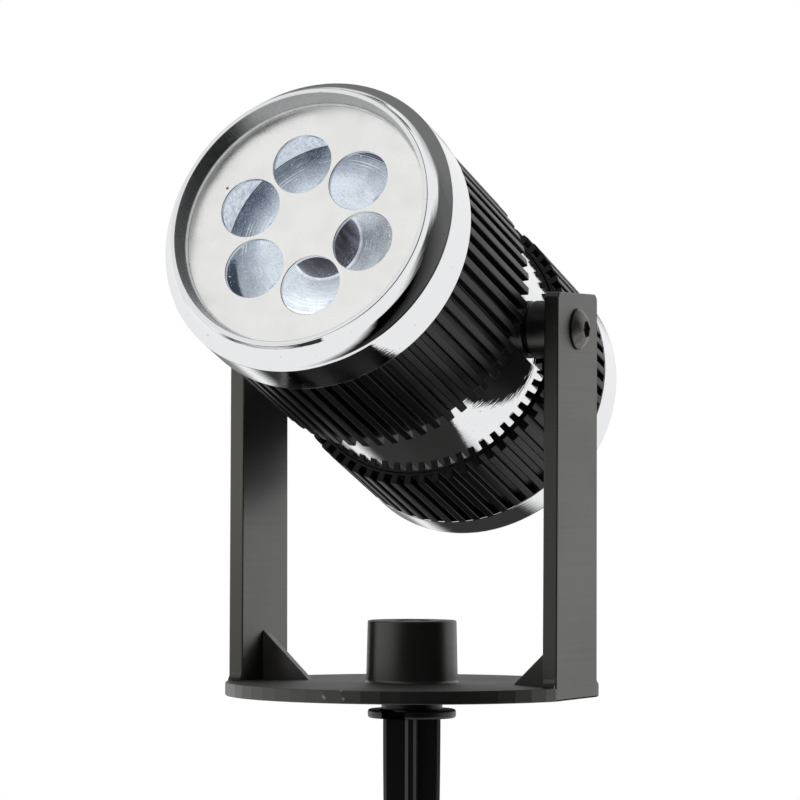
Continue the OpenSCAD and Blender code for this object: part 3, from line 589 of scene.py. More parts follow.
def turned_metal(m):
    """Turned channel: cool bright metal with tool marks round the beam. Painted highlights in colour and glow:
    a few bright rings, bright arcs at the hub's foot and fine sparkles. The light that falls through the holes
    is painted in as light and shade: darker beside the far wall, on its near side and at its outer edge, and
    brightest low in the channel."""
    smudge, speck = m.handling(160.0, 1700.0)
    radius = m.vector("LENGTH", m.vector("MULTIPLY", m.head_axis(), (1, 1, 0)))
    rounds = m.line_noise(radius, 2200.0, 3.0)
    across = m.towards(LIGHT_TURN)
    # Painted shade: darker beside the far wall.
    far = m.mul(m.spread(across, 0.0, 0.85), m.spread(radius, 0.0185, 0.0262))
    # Painted light: the side of the floor that is painted brightest.
    full = m.spread(m.towards(LIT_FLOOR_TURN), -0.3, 0.6)
    # Painted pool of light low in the channel, on its brightest side.
    low = m.mul(m.spread(across, 0.3, -0.9), m.spread(radius, 0.0095, 0.022))
    low = m.mul(low, full)
    # Painted shade on the near side, and a painted shadow at the outer edge.
    dim = m.mul(m.spread(across, 0.0, -0.5), m.maths("SUBTRACT", 1.0, full))
    edge = m.mul(m.spread(radius, 0.0256, 0.0265), m.spread(across, 0.62, 0.5))
    dim = m.mul_add(edge, 1.6, dim)
    # Painted highlights: a few bright rings on the tool marks, and bright arcs at the hub's foot.
    arcs = m.spread(m.noise(90.0, 2.0), 0.48, 0.62)
    ring = m.mul(m.spread(rounds, 0.52, 0.74), arcs)
    foot = m.spread(radius, (HUB_R + 1.0) * MM, (HUB_R + 0.5) * MM)
    foot = m.mul(foot, m.mul_add(arcs, 0.4, 0.35))
    grain = m.maths("SUBTRACT", m.noise(2300.0, 2.0), 0.5)
    # Colour's brightness: painted shade at the far wall, near side and outer edge, plus smudges and grain.
    dull = m.mul_add(far, -0.75, m.mul_add(smudge, -0.15, 0.9))
    dull = m.mul_add(grain, 0.75, m.mul_add(dim, -0.5, dull), clamp=True)
    plain = m.blend(dull, (0.10, 0.12, 0.17), (0.78, 0.84, 0.91))
    # Painted glints: specks as sparkles, the bright rings and the arcs at the foot, all in white.
    bright = m.maths("MAXIMUM", m.maths("MAXIMUM", speck, ring), foot, clamp=True)
    # Painted glow in the emission: the glints, the pool of light and the lit colour, weaker by the far wall.
    glow = m.mul_add(bright, 0.4, m.mul_add(low, 0.42, m.mul(dull, 0.3)))
    glow = m.mul(glow, m.spread(far, 0.0, 1.0, 1.0, 0.45), clamp=True)
    round_way = m.vector("NORMALIZE", m.vector("CROSS_PRODUCT", tuple(BEAM), m.from_pivot()))
    world_way = m.out("VectorTransform", {0: round_way}, vector_type="VECTOR", convert_from="OBJECT",
                      convert_to="WORLD")
    m.feed(Base_Color=m.blend(bright, plain, WHITE), Emission_Color=m.blend(glow, BLACK, (0.86, 0.93, 1.0)),
           Roughness=m.mul_add(smudge, 0.08, 0.34), Tangent=world_way)
    m.bump(m.mul_add(speck, 0.5, rounds), 0.00003)


def lit_wall(m):
    """Channel wall in the lamps' light, painted in: a mottled cool white glow painted where the light falls,
    and a colour painted darker on the side away from it.
    """
    smudge = m.handling(1500.0, 1300.0)[0]
    # Side of the wall painted as lit; the rest of the wall is painted dark as shade.
    full = m.spread(m.towards(LIGHT_TURN), 0.0, 0.75)
    painted_glow_dots = m.spread(m.noise(1000.0, 4.0, 0.75), 0.36, 0.64)
    shine = m.blend(smudge, (0.72, 0.82, 0.95), (0.95, 0.98, 1.0))
    # Painted glow where the light is painted on, mottled by dots of noise.
    glow = m.mul(full, m.mul_add(painted_glow_dots, 0.42, 0.34))
    m.feed(Base_Color=m.blend(full, (0.05, 0.06, 0.08), (0.42, 0.46, 0.50)),
           Emission_Color=m.blend(glow, BLACK, shine))


def shaded_hub(m):
    """Hub's side in painted shade: dark, with cool streaks along the beam painted as dim reflections in colour
    and glow, painted sparkles, and a painted glow of grain near its foot.
    """
    speck = m.handling(160.0, 1500.0)[1]
    # Streaks along the beam: painted dim reflections, in the colour and in the glow.
    streak = m.spread(m.drawn(300.0, 0.15), 0.50, 0.85)
    # Near the hub's foot: painted glow dots of grain.
    foot = m.spread(m.along_beam(), (FLOOR_U + 8.0) * MM, (FLOOR_U + 0.5) * MM)
    painted_glow_dots = m.mul(foot, m.spread(m.noise(2300.0, 2.0), 0.40, 0.68))
    # Dark base colour: painted shade.
    base = m.blend(streak, (0.022, 0.023, 0.030), (0.15, 0.16, 0.20))
    glow = m.blend(streak, BLACK, (0.045, 0.05, 0.065))
    # Specks turn into painted sparkles of white light.
    m.feed(Base_Color=m.blend(speck, base, (0.75, 0.80, 0.90)),
           Emission_Color=m.blend(painted_glow_dots, glow, (0.17, 0.18, 0.22)))


def lit_dome(m):
    """Lit lens: cool white glow, a little stronger in some spots."""
    smudge = m.handling(400.0, 2500.0)[0]
    m.feed(Emission_Color=m.blend(smudge, (0.85, 0.93, 1.0), (0.72, 0.86, 1.0)),
           Base_Color=m.blend(smudge, (0.34, 0.38, 0.44), (0.28, 0.32, 0.39)))


def anodised(m):
    """Black anodised metal: lengthwise drawing marks, faint dust and a slightly warm cast."""
    smudge, speck = m.handling(60.0, 1300.0)
    lines = m.drawn(2600.0, 0.02)
    m.feed(Base_Color=m.blend(m.mul(speck, 0.2), (0.0026, 0.0025, 0.0023), (0.05, 0.047, 0.042)),
           Roughness=m.mul_add(smudge, 0.08, m.mul_add(lines, 0.10, 0.24)))
    m.bump(lines, 0.000012)


def printed_plastic(m):
    """Printed black plastic: layers as a sine of the height, bent a little by noise, with lighter and darker
    bands. Level faces are rougher, the rim has pale chips, and the left arm's front is a lighter warm grey,
    more so higher up."""
    pitch, waver = 0.00055, 0.00012
    smudge = m.handling(35.0, 650.0)[0]
    place = m.parts(m.spot)
    facing = m.parts(m.coords["Normal"])
    level = m.spread(m.maths("ABSOLUTE", facing[2]), 0.8, 0.95)
    bent = m.mul_add(m.noise(900.0, 1.0), waver, place[2])
    wave = m.mul_add(m.maths("SINE", m.mul(bent, 2 * pi / pitch)), 0.5, 0.5)
    slow = m.line_noise(m.maths("DIVIDE", place[2], pitch), 0.45, 2.0)
    grain = m.noise(3000.0, 2.0)
    base = m.blend(m.mul(slow, 0.6), (0.0022, 0.0021, 0.0019), (0.0045, 0.0043, 0.0040))
    # The left arm's front faces are made a lighter warm grey, more so higher up.
    lighter_left_front = m.mul(m.spread(facing[1], -0.9, -0.98), m.spread(place[0], -0.036, -0.042))
    lighter_left_front = m.mul(lighter_left_front, m.spread(place[2], 0.010, 0.060, 0.35, 1.0))
    base = m.blend(m.mul(lighter_left_front, 0.9), base, (0.062, 0.058, 0.047))
    rough = m.mul_add(slow, 0.07, m.mul_add(smudge, 0.05, 0.25))
    rough = m.mul_add(grain, 0.06, m.mul_add(level, 0.24, rough))
    chip = m.mul(m.marks_at(PLATE_CHIPS, 0.45), 0.8)
    m.feed(Base_Color=m.blend(chip, base, (0.14, 0.13, 0.12)), Roughness=rough)
    m.bump(m.mul_add(wave, 0.8, m.mul_add(grain, 0.5, m.mul(slow, 0.5))), 0.000012)


def moulded_plastic(m):
    """Moulded black plastic: fine spark texture with faint soil marks."""
    smudge, speck = m.handling(45.0, 900.0)
    grain = m.noise(2400.0, 3.0)
    m.feed(Base_Color=m.blend(smudge, (0.0016, 0.0015, 0.0015), (0.0030, 0.0029, 0.0027)),
           Roughness=m.mul_add(grain, 0.16, 0.26))
    m.bump(m.mul_add(speck, 0.4, grain), 0.00002)


def dark_steel(m):
    """Oxide-blackened steel: mottled grey-brown with small worn spots."""
    smudge, speck = m.handling(500.0, 1800.0)
    base = m.blend(smudge, (0.10, 0.095, 0.088), (0.17, 0.16, 0.148))
    m.feed(Base_Color=m.blend(m.mul(speck, 0.5), base, (0.34, 0.32, 0.29)),
           Roughness=m.mul_add(smudge, 0.12, 0.30))
    m.bump(m.noise(2500.0, 3.0), 0.00002)


def soft_rubber(m):
    """Black rubber: dull with a little bloom."""
    smudge = m.handling(150.0, 1500.0)[0]
    m.feed(Base_Color=m.blend(smudge, (0.012, 0.012, 0.012), (0.03, 0.03, 0.029)),
           Roughness=m.mul_add(smudge, 0.15, 0.6))
    m.bump(m.noise(3000.0, 2.0), 0.00001)


def tinted(low, high, rough):
    """A plain part's finish: two close colours, mottled, with a fine grain."""
    def paint(m):
        smudge, speck = m.handling(220.0, 1600.0)
        m.feed(Base_Color=m.blend(smudge, low, high), Roughness=m.mul_add(speck, 0.2, rough))
        m.bump(m.noise(3000.0, 2.0), 0.00001)
    return paint


def finish(name, paint, **plain):
    """The material of a finish."""
    return Finish(name, paint, **plain).material


BORED = finish("bored lip metal", bored_metal, Metallic=1.0)
# Lit and shaded copies of the channel's metal: the wall with painted light and glow, the hub with painted
# shade.
PAINTED_LIGHT_WALL = finish("lit channel wall", lit_wall, Metallic=0.2, Roughness=0.5, Emission_Strength=1.0)
RIM = finish("drilled rim", tinted((0.88, 0.90, 0.92), (0.96, 0.97, 0.98), 0.16), Metallic=1.0)
PAINTED_SHADE_HUB = finish("dark hub", shaded_hub, Roughness=0.35, Emission_Strength=1.0)
PRINTED = finish("black printed plastic", printed_plastic, Specular_IOR_Level=0.8,
                 Specular_Tint=(1.0, 0.985, 0.95))
BY_SLOT = {
    "black_plastic": finish("black moulded plastic", moulded_plastic, Specular_IOR_Level=0.4),
    "black_aluminium": finish("black anodised metal", anodised, Specular_IOR_Level=0.22),
    "polished_aluminium": finish("mirror polished metal", mirror_metal, Metallic=1.0),
    "satin_aluminium": finish("satin face metal", satin_metal, Metallic=1.0),
    # The channel's own metal, with painted highlights, light, shade and glow.
    "turned_aluminium": finish("turned channel metal", turned_metal, Metallic=0.5, Anisotropic=0.6,
                               Emission_Strength=1.0),
    "clear_seal": finish("clear seal", tinted((0.62, 0.63, 0.64), (0.74, 0.75, 0.76), 0.15)),
    "dark_steel": finish("dark steel", dark_steel, Metallic=1.0),
    "rubber": finish("black rubber", soft_rubber),
    "circuit_board": finish("circuit board", tinted((0.03, 0.14, 0.07), (0.045, 0.19, 0.10), 0.35)),
    "led_lens": finish("lit lamp lens", lit_dome, Roughness=0.3, Emission_Strength=0.18),
    "tape_yellow": finish("wound tape", tinted((0.55, 0.42, 0.08), (0.62, 0.50, 0.12), 0.45)),
    "can_blue": finish("blue shrink sleeve", tinted((0.02, 0.03, 0.10), (0.03, 0.045, 0.14), 0.3)),
    "terminal_green": finish("green terminal plastic", tinted((0.02, 0.20, 0.09), (0.03, 0.25, 0.12), 0.4)),
    "lead_red": finish("red lead", tinted((0.35, 0.02, 0.02), (0.45, 0.03, 0.03), 0.35))}
for entry in frame["record"]["subparts"]:
    NODES[entry["node"]].data.materials.clear()
    NODES[entry["node"]].data.materials.append(BY_SLOT[entry["material_slot"]])


# Polished rings and tube

def bezel_profile():
    """Section of the bezel: bore, wide ring with a rounded front edge, shoulder hollowed by a parabola, lip's
    side, flat land on its top, flared wall and ledge, every corner rounded."""
    bore, top, ledge = CORE_R + FIT, LIP_IN_R + LIP_LAND, BEZEL_LEN - RECESS
    edge = arc((BEZEL_R - RING_ROUND, RING_LEN - RING_ROUND), RING_ROUND, 0, 64, 10)
    first, last = edge[-1], np.array([top + LIP_DRAFT, RING_LEN + SHOULDER_RISE])
    side = np.array([last[1] - first[1], first[0] - last[0]]) / np.linalg.norm(last - first)
    share = np.linspace(0, 1, 17)[1:, None]
    slope = first + share * (last - first) - 4 * SHOULDER_HOLLOW * share * (1 - share) * side
    plain = [(radius, height, 0) for radius, height in np.concatenate([edge, slope])]
    return rounded([(bore, 0, 0.1), (BEZEL_R, 0, 0.45), *plain,
                    (top + 0.35 * LIP_DRAFT, BEZEL_LEN - 1.7, 3.0), (top, BEZEL_LEN, 0.3),
                    (LIP_IN_R, BEZEL_LEN, 0.2), (LEDGE_R, ledge, 0.1), (bore, ledge, 0.1)], 10) + [0, BEZEL_U]


def rear_profile():
    """Section of the rear ring: bore, ledge behind the cover, rounded back edge and plain front edge."""
    bore, edge = CORE_R + FIT, 0.35
    return np.concatenate([
        [[bore, REAR_LEN], [bore, REAR_LEDGE], [LEDGE_R, REAR_LEDGE]],
        arc((LEDGE_R + 0.3, 0.3), 0.3, 180, 270, 4), [[REAR_R - REAR_ROUND - 0.1, 0]],
        arc((REAR_R - REAR_ROUND, REAR_ROUND), REAR_ROUND, -90, 0, 14), [[REAR_R, REAR_LEN - edge - 0.1]],
        arc((REAR_R - edge, REAR_LEN - edge), edge, 0, 90, 4)]) + [0, BACK_U]


def core_rows():
    """Rows of the tube: over the band two milled flats cap its radius. There it is the smaller of the
    tube's own and the flat's distance divided by the cosine of the angle."""
    rim = asin(FLAT_HALF / CORE_R)
    flat = np.linspace(-rim, rim, 9)
    round_part = np.linspace(rim, pi - rim, 121)[1:-1]
    angle = np.concatenate([flat, round_part, flat + pi, round_part + pi])
    spoke = np.stack([np.cos(angle), np.sin(angle)], -1)
    capped = np.minimum(CORE_R, FLAT_X / np.maximum(np.abs(np.cos(angle)), 1e-6))[:, None]
    return [at_height(spoke * radius, u) for radius, u in (
        (CORE_R, CORE_BACK), (CORE_R, -BAND_REAR), (capped, -BAND_REAR), (capped, BAND_FRONT),
        (CORE_R, BAND_FRONT), (CORE_R, CORE_FRONT), (BORE_FRONT_R, CORE_FRONT), (BORE_FRONT_R, SPREADER_BACK),
        (BORE_REAR_R, SPREADER_BACK), (BORE_REAR_R, CORE_BACK))]


bezel = turned(bezel_profile(), on_head, 288)
piece("bezel_ring", bezel, "front_bezel", "polished_aluminium", BORED)
mark(bezel, lambda radius, along: (along < WALL_ALONG) & (radius < LIP_IN_R))
piece("rear_end_ring", turned(rear_profile(), on_head, 288), "rear_ring", "polished_aluminium")
piece("polished_tube", loft(core_rows(), on_head, closed_rows=True, sharp=9), "core_tube",
      "polished_aluminium")


# Ribbed sleeves

def rib_outline():
    """Outline of a sleeve: one groove with its half ribs, corners rounded, repeated round the axis."""
    pitch, half = 2 * pi / RIBS, GROOVE_W / 2
    top = sqrt(SLEEVE_R ** 2 - half ** 2)
    x, y = SLEEVE_R * cos(pitch / 2), SLEEVE_R * sin(pitch / 2)
    inside = (30, 0, 0)
    unit = rounded([(x, -y, 0), (top, -half, 0.28), (SLEEVE_FLOOR_R, -half, 0.3), (SLEEVE_FLOOR_R, half, 0.3),
                    (top, half, 0.28), (x, y, 0), inside], 3, 0.04)[:-2]
    angle = (np.arange(RIBS) + 0.5) * pitch
    return np.stack(spin(unit[:, 0], unit[:, 1], angle[:, None]), -1).reshape(-1, 2)


for label, start, length in (("front_sleeve", BAND_FRONT, FRONT_SLEEVE_LEN),
                             ("rear_sleeve", REAR_U, REAR_SLEEVE_LEN)):
    ribbed = ring_slab(rib_outline(), CORE_R + FIT, start, start + length, 0.18, on_head, sharp=40)
    piece(label + "_ribs", ribbed, label, "black_aluminium")


# Face plate, channel and lamps

def face_mesh():
    """Disc with six holes: flat front and back filled between the rim and the holes' edges, the rim's wall,
    and each hole's wall with a rounded front edge."""
    edge, rim_steps, hole_steps = 0.22, 192, 96
    rim = circle(DISC_R, rim_steps)
    centres = np.stack(spin(*circle(HOLE_PITCH, HOLES).T, HOLE_TURN), -1)
    points, faces = [], []
    def add(new_points, new_faces):
        first = sum(map(len, points))
        points.append(new_points)
        faces.extend([int(i) + first for i in face] for face in new_faces)
    for radius, height, way in ((HOLE_R + edge, FACE_U, 1), (HOLE_R, CORE_FRONT, -1)):
        loops = [rim] + [circle(radius, hole_steps)[::-1] + centre for centre in centres]
        filled = tessellate_polygon([[Vector((x, y, 0)) for x, y in outline] for outline in loops])
        flat = np.concatenate(loops)
        signs = [np.cross(flat[b] - flat[a], flat[c] - flat[a]) for a, b, c in filled]
        kept = [face if sign * way > 0 else face[::-1] for face, sign in zip(filled, signs)]
        add(at_height(flat, height), kept)
    add(np.concatenate([at_height(rim, CORE_FRONT), at_height(rim, FACE_U)]), grid_faces(2, rim_steps, False))
    wall = [*arc((HOLE_R + edge, FACE_U - edge), edge, 90, 180, 5), (HOLE_R, CORE_FRONT)]
    for centre in centres:
        rows = [at_height(circle(radius, hole_steps) + centre, height) for radius, height in wall]
        add(np.concatenate(rows), grid_faces(len(wall), hole_steps, False))
    return shell(on_head(np.concatenate(points)), faces, 40)


def cup_profile():
    """Section of the cup from its axis round to its axis: room for the plug, plain back and outside, then the
    channel with a fillet at each foot and shallow bell-shaped tool grooves across its floor."""
    soft, outer = 0.5, BORE_FRONT_R - FIT
    radius = np.linspace(CHANNEL_R - soft - 0.1, HUB_R + soft + 0.1, 161)
    groove = sum(depth * np.exp(-((radius - at) / 0.15) ** 2) for at, depth in FLOOR_GROOVES)
    return np.concatenate([
        [[0, BOARD_U + PLUG_ROOM_H], [PLUG_ROOM_R, BOARD_U + PLUG_ROOM_H], [PLUG_ROOM_R, BOARD_U],
         [outer, BOARD_U], [outer, CORE_FRONT], [CHANNEL_R, CORE_FRONT], [CHANNEL_R, FLOOR_U + soft + 0.1]],
        arc((CHANNEL_R - soft, FLOOR_U + soft), soft, 0, -90, 6), np.column_stack([radius, FLOOR_U - groove]),
        arc((HUB_R + soft, FLOOR_U + soft), soft, 270, 180, 6),
        [[HUB_R, FLOOR_U + soft + 0.1], [HUB_R, CORE_FRONT], [0, CORE_FRONT]]])


def cup_finish(radius, along):
    """Faces that look across the beam: the hub's take the second finish, with painted shade, and the channel
    wall's the third, with painted light and glow.
    """
    hub, wall = radius < HUB_R + WALL_NEAR, np.abs(radius - CHANNEL_R) < WALL_NEAR
    return (along < WALL_ALONG) * (hub + 2 * wall)


def lamp_mesh(index):
    """One lamp: a square base with rounded edges and a half-round dome on it."""
    half = LED_W / 2
    base = rounded([(-half, -half, 0.2), (half, -half, 0.2), (half, half, 0.2), (-half, half, 0.2)], 4)
    dome = [(0, BOARD_U + 0.2), (LED_R, BOARD_U + 0.2), *arc((0, BOARD_U + LED_H), LED_R, 0, 90, 12)]
    return merged([slab(base, BOARD_U, BOARD_U + LED_H, 0.08, on_hole(index)),
                   turned(dome, on_hole(index), 48, closed=False)])


disc = face_mesh()
piece("face_disc", disc, "face_plate", "satin_aluminium", RIM)
mark(disc, lambda radius, along: (along < EDGE_ALONG) & (radius < CORE_R - RIM_W))
gasket = ring_section(LEDGE_R - GASKET_LIP, DISC_R, FACE_U, FACE_U + GASKET_T, (0.15, 0.1, 0.1, 0.25))
piece("front_seal_ring", turned(gasket, on_head), "front_gasket", "clear_seal")
cup = fused(turned(cup_profile(), on_head, closed=False), (),
            [plug(LED_ROOM_R, BOARD_U - 1, FLOOR_U + 1, on_hole(index)) for index in range(HOLES)])
# The cup's metal in three finishes: plain, the hub's side in painted shade, the channel wall in painted light.
piece("turned_cup", cup, "reflector_cup", "turned_aluminium", PAINTED_SHADE_HUB, PAINTED_LIGHT_WALL)
mark(cup, cup_finish)
for index in range(HOLES):
    piece(f"lamp_{index + 1}", lamp_mesh(index), f"led_emitter_{index + 1}", "led_lens")


# Tilt pivots

def bolt_rows():
    """Bolt with a round shank and a domed head, whose dome is an arc about a point on the axis."""
    head, edge = ARM_OUT + FACE_GAP, BOLT_HEAD_H / 6
    rise, top = BOLT_HEAD_H - edge, head + BOLT_HEAD_H
    crown = (BOLT_HEAD_R ** 2 + rise ** 2) / (2 * rise)
    lean = np.linspace(asin(BOLT_HEAD_R / crown), asin((BOLT_KEY_R + 0.35) / crown), 12)
    steps = [(BOLT_R - 0.5, NUT_X), (BOLT_R, NUT_X + 0.5), (BOLT_R, head), (BOLT_HEAD_R - 0.25, head),
             (BOLT_HEAD_R, head + 0.2), *zip(crown * np.sin(lean), top - crown + crown * np.cos(lean))]
    key_top = top - crown + sqrt(crown ** 2 - BOLT_KEY_R ** 2)
    return socket_screw(steps, BOLT_KEY_R, key_top, top - BOLT_KEY_H, flare=1.06, soft=0.2, cone=0.3)


for side, word in ((1, "right"), (-1, "left")):
    inner, place = BOLT_R + FIT, on_pivot(side)
    boss = rounded([(inner, FLAT_X, 0), (BOSS_R - 0.8, FLAT_X, 0.2), (BOSS_R, FLAT_X + 0.8, 0.3),
                    (BOSS_R, FRICTION_X, 0.3), (inner, FRICTION_X, 0)], 4)
    washer = ring_section(inner, BOSS_R, FRICTION_X, FRICTION_X + FRICTION_T,
                          (0.1, 0.15, 0.15, 0.1), hold=0.03)
    piece(f"bolt_{word}", loft(bolt_rows(), place, sharp=28), f"pivot_bolt_{word}", "dark_steel")
    piece(f"spacer_{word}", turned(boss, place, 128), f"pivot_boss_{word}", "black_plastic", main=PRINTED)
    piece(f"tilt_washer_{word}", turned(washer, place, 96), f"friction_washer_{word}", "rubber")


# Bracket

def plate_outline():
    """Many-sided plate with a flat at each arm: corners of the polygon, held within the arms' outer faces."""
    angle = (np.arange(PLATE_SIDES) + 0.5) * 2 * pi / PLATE_SIDES
    points = PLATE_R * np.stack([np.cos(angle), np.sin(angle)], -1)
    side = ARM_OUT - 0.04
    reach = sqrt(PLATE_IN_R ** 2 - side ** 2)
    kept = points[np.abs(points[:, 0]) < side - 0.05]
    cut = np.array([[sx * side, sy * reach] for sx in (-1, 1) for sy in (-1, 1)])
    joined = np.concatenate([kept, cut])
    return joined[np.argsort(np.arctan2(joined[:, 1], joined[:, 0]))]


def arm_outline():
    """Arm seen along the tilt axis: straight foot, slight taper and rounded top corners."""
    foot, top, top_z = ARM_FOOT / 2, ARM_TOP / 2, PIVOT_Z + ARM_OVER
    low, bend = PLATE_Z + 0.03, PLATE_TOP + FOOT_FILLET
    return rounded([(-foot, low, 0.1), (foot, low, 0.1), (foot, bend, 0), (top, top_z, ARM_ROUND),
                    (-top, top_z, ARM_ROUND), (-foot, bend, 0)], 20)


def fillet_mesh(side, edge_side):
    """Hollow fillet at the arm's foot: a quarter circle between arm and plate, carried across the arm's
    thickness and held inside the plate's rim."""
    foot, reach, bend = ARM_FOOT / 2, ARM_FOOT / 2 + FOOT_FILLET, PLATE_TOP + FOOT_FILLET
    outline = np.array([(foot - 1, PLATE_TOP - 1), (reach, PLATE_TOP - 1),
                        *arc((reach, bend), FOOT_FILLET, 270, 180, 20), (foot - 1, bend)])
    rows = []
    for x in np.linspace(ARM_IN + 0.3, ARM_OUT - 0.3, 9):
        rim = sqrt(PLATE_IN_R ** 2 - x * x) - 0.15
        y = edge_side * np.minimum(outline[:, 0], rim)
        rows.append(np.column_stack([np.full(len(outline), side * x), y, outline[:, 1]]))
    return loft(rows, upright)


def gusset_mesh(side):
    """Triangular web between an arm and the plate."""
    outline = rounded([(-1.0, -1.0, 0), (GUSSET_REACH + 0.2, -1.0, 0), (GUSSET_REACH, 0.0, 0),
                       (0.0, GUSSET_H, 0.0), (-1.0, GUSSET_H, 0.0)], 2)
    def place(points):
        x, z, y = split(points)
        return upright(np.stack([side * (ARM_IN - x), y, z + PLATE_TOP], -1))
    return slab(outline, -GUSSET_T / 2, GUSSET_T / 2, 0.2, place)


def post_mesh():
    """Post with a slight draft, a rounded foot and a softened top edge."""
    foot, soft = 0.8, 0.4
    profile = [(0, PLATE_Z + 1), (POST_FOOT_R + foot, PLATE_Z + 1),
               *arc((POST_FOOT_R + foot, PLATE_TOP + foot), foot, 270, 180, 5),
               *arc((POST_R - soft, POST_TOP - soft), soft, 0, 90, 4), (POST_R - 0.6, POST_TOP),
               (0, POST_TOP)]
    return turned(profile, upright, 128, closed=False)


def on_tilt_axis(points):
    """Frame whose z runs along the tilt axis through both arms."""
    return upright(np.asarray(points)[..., [2, 1, 0]] + [0, 0, PIVOT_Z])


bracket_added = [post_mesh()]
for side, start in ((1, ARM_IN), (-1, -ARM_OUT)):
    bracket_added += [slab(arm_outline(), 0.0, ARM_T, 0.35, along_x(start)), gusset_mesh(side),
                      fillet_mesh(side, 1), fillet_mesh(side, -1)]
bracket_removed = [plug(SPIGOT_R + FIT, PLATE_Z - 2, SOCKET_TOP), plug(SCREW_HOLE_R, PLATE_Z, POST_TOP + 2),
                   plug(SINK_R, SINK_Z, POST_TOP + 2),
                   plug(BOLT_R + FIT, -ARM_OUT - 2, ARM_OUT + 2, on_tilt_axis)]
bracket = fused(slab(plate_outline(), PLATE_Z, PLATE_TOP, 0.25, upright), bracket_added, bracket_removed, 5.5)
piece("printed_bracket", bracket, "yoke_bracket", "black_plastic", main=PRINTED, body="bracket", flat=True)


# Stake

def spike_rows():
    """Rows of the crossed fins down the spike: a plus whose arms fall in length by the square of the depth to
    the blunt tip, whose thickness is the fins' own until the arms are shorter, with bevelled ends and soft
    inner corners. The top row reaches up through the flange's notch."""
    rows = []
    for share in [-(FLANGE_T - 0.1) / SPIKE_LEN, *np.linspace(0, 1, 49)]:
        wide = TIP_W / 2 + (FIN_SPAN - TIP_W) / 2 * (1 - max(share, 0.0) ** 2)
        thick = min(FIN_T / 2, wide - 0.01)
        end, root = 0.4 * min(0.5, thick * 0.45, (wide - thick) * 0.4), min(0.35, (wide - thick) * 0.4)
        cut = min(0.9, (wide - thick) * 0.3)
        arm = [(wide - cut, -thick, end), (wide, -thick * 0.45, end), (wide, thick * 0.45, end),
               (wide - cut, thick, end), (thick, thick, root)]
        corners = [(x * c - y * s, x * s + y * c, r) for c, s in ((1, 0), (0, 1), (-1, 0), (0, -1))
                   for x, y, r in arm]
        rows.append(at_height(rounded(corners, 4, 0.0), -SPIKE_LEN * share))
    return rows


def flange_outline():
    """Round flange with the open notch between two neighbouring fins."""
    right, left, top = -FIN_T / 2 + 0.1, -FIN_SPAN / 2, -FIN_T / 2 + 0.9
    start = degrees(atan2(-sqrt(FLANGE_R ** 2 - right ** 2), right))
    end = degrees(atan2(-sqrt(FLANGE_R ** 2 - left ** 2), left)) + 360
    rim = [(x, y, 0) for x, y in arc((0, 0), FLANGE_R, start, end, 140)]
    return rounded(rim + [(left, top, 0.5), (right, top, 0.5)], 4)


def swivel_rows():
    """Swivel screw with a round shank and a round head."""
    low, head = SPIGOT_TOP - SCREW_LEN, WASHER_Z + WASHER_T
    top = head + SCREW_HEAD_H
    steps = [(SCREW_R - 0.4, low), (SCREW_R, low + 0.4), (SCREW_R, head), (SCREW_HEAD_R - 0.2, head),
             (SCREW_HEAD_R, head + 0.2), (SCREW_HEAD_R, top - 0.35), (SCREW_HEAD_R - 0.1, top - 0.1),
             (SCREW_HEAD_R - 0.35, top), (SCREW_KEY_R + 0.45, top)]
    return socket_screw(steps, SCREW_KEY_R, top, top - SCREW_KEY_H, flare=1.05, soft=0.15, cone=0.2)


neck_top = FLANGE_T + NECK_H
neck = [(0, FLANGE_T - 0.5), (NECK_R, FLANGE_T - 0.5), (NECK_R, neck_top - 0.3), (NECK_R - 0.3, neck_top),
        (SPIGOT_R, neck_top), (SPIGOT_R, SPIGOT_TOP - 0.5), (SPIGOT_R - 0.5, SPIGOT_TOP), (0, SPIGOT_TOP)]
stake = fused(slab(flange_outline(), 0.0, FLANGE_T, 0.7, on_fins),
              [loft(spike_rows(), on_fins), turned(neck, upright, 128, closed=False)])
piece("moulded_stake", stake, "stake", "black_plastic", body="stake", flat=True)
washer = ring_section(WASHER_IN_R, WASHER_R, WASHER_Z, WASHER_Z + WASHER_T, (0.1, 0.15, 0.2, 0.1))
piece("swivel_plain_washer", turned(washer, upright, 96), "swivel_washer", "dark_steel", body="stake")
piece("swivel_head_screw", loft(swivel_rows(), upright, sharp=28), "swivel_screw", "dark_steel", body="stake")


# Rear end and gland

cover = ring_section(STEM_R + FIT, DISC_R, COVER_BACK, COVER_BACK + COVER_T, (0.1, 0.3, 0.3, 0.1))
piece("rear_disc", turned(cover, on_head), "rear_cover", "black_aluminium")
stem_end = SEAL_END - END_GAP
stem = rounded([(GLAND_BORE_R, STEM_START, 0.2), (STEM_R, STEM_START, 0.4), (STEM_R, stem_end, 0.3),
                (SEAL_R + FIT, stem_end, 0.1), (SEAL_R + FIT, SEAL_START, 0),
                (GLAND_BORE_R, SEAL_START, 0.1)], 3)
hexagon = rounded([(x, y, 0.6) for x, y in circle(GLAND_HEX_R, 6)], 4)
gland = fused(turned(stem, on_gland, 96), [ring_slab(hexagon, STEM_R - 0.6, 0.0, GLAND_HEX_T, 0.3, on_gland)])
piece("gland_stem", gland, "gland_body", "black_plastic", flat=True)
seal = ring_section(CORD_R, SEAL_R, SEAL_START, SEAL_END, (0.3, 0.2, 0.2, 0.5), 4)
piece("gland_grommet", turned(seal, on_gland, 96), "gland_seal", "rubber")
cap = fused(slab(hexagon, CAP_START, CAP_END, 0.7, on_gland), (),
            [plug(STEM_R + FIT, CAP_START - 2, SEAL_END, on_gland),
             plug(GLAND_BORE_R, CAP_START, CAP_END + 2, on_gland)])
piece("gland_cap", cap, "gland_nut", "black_plastic", flat=True)


# Studio

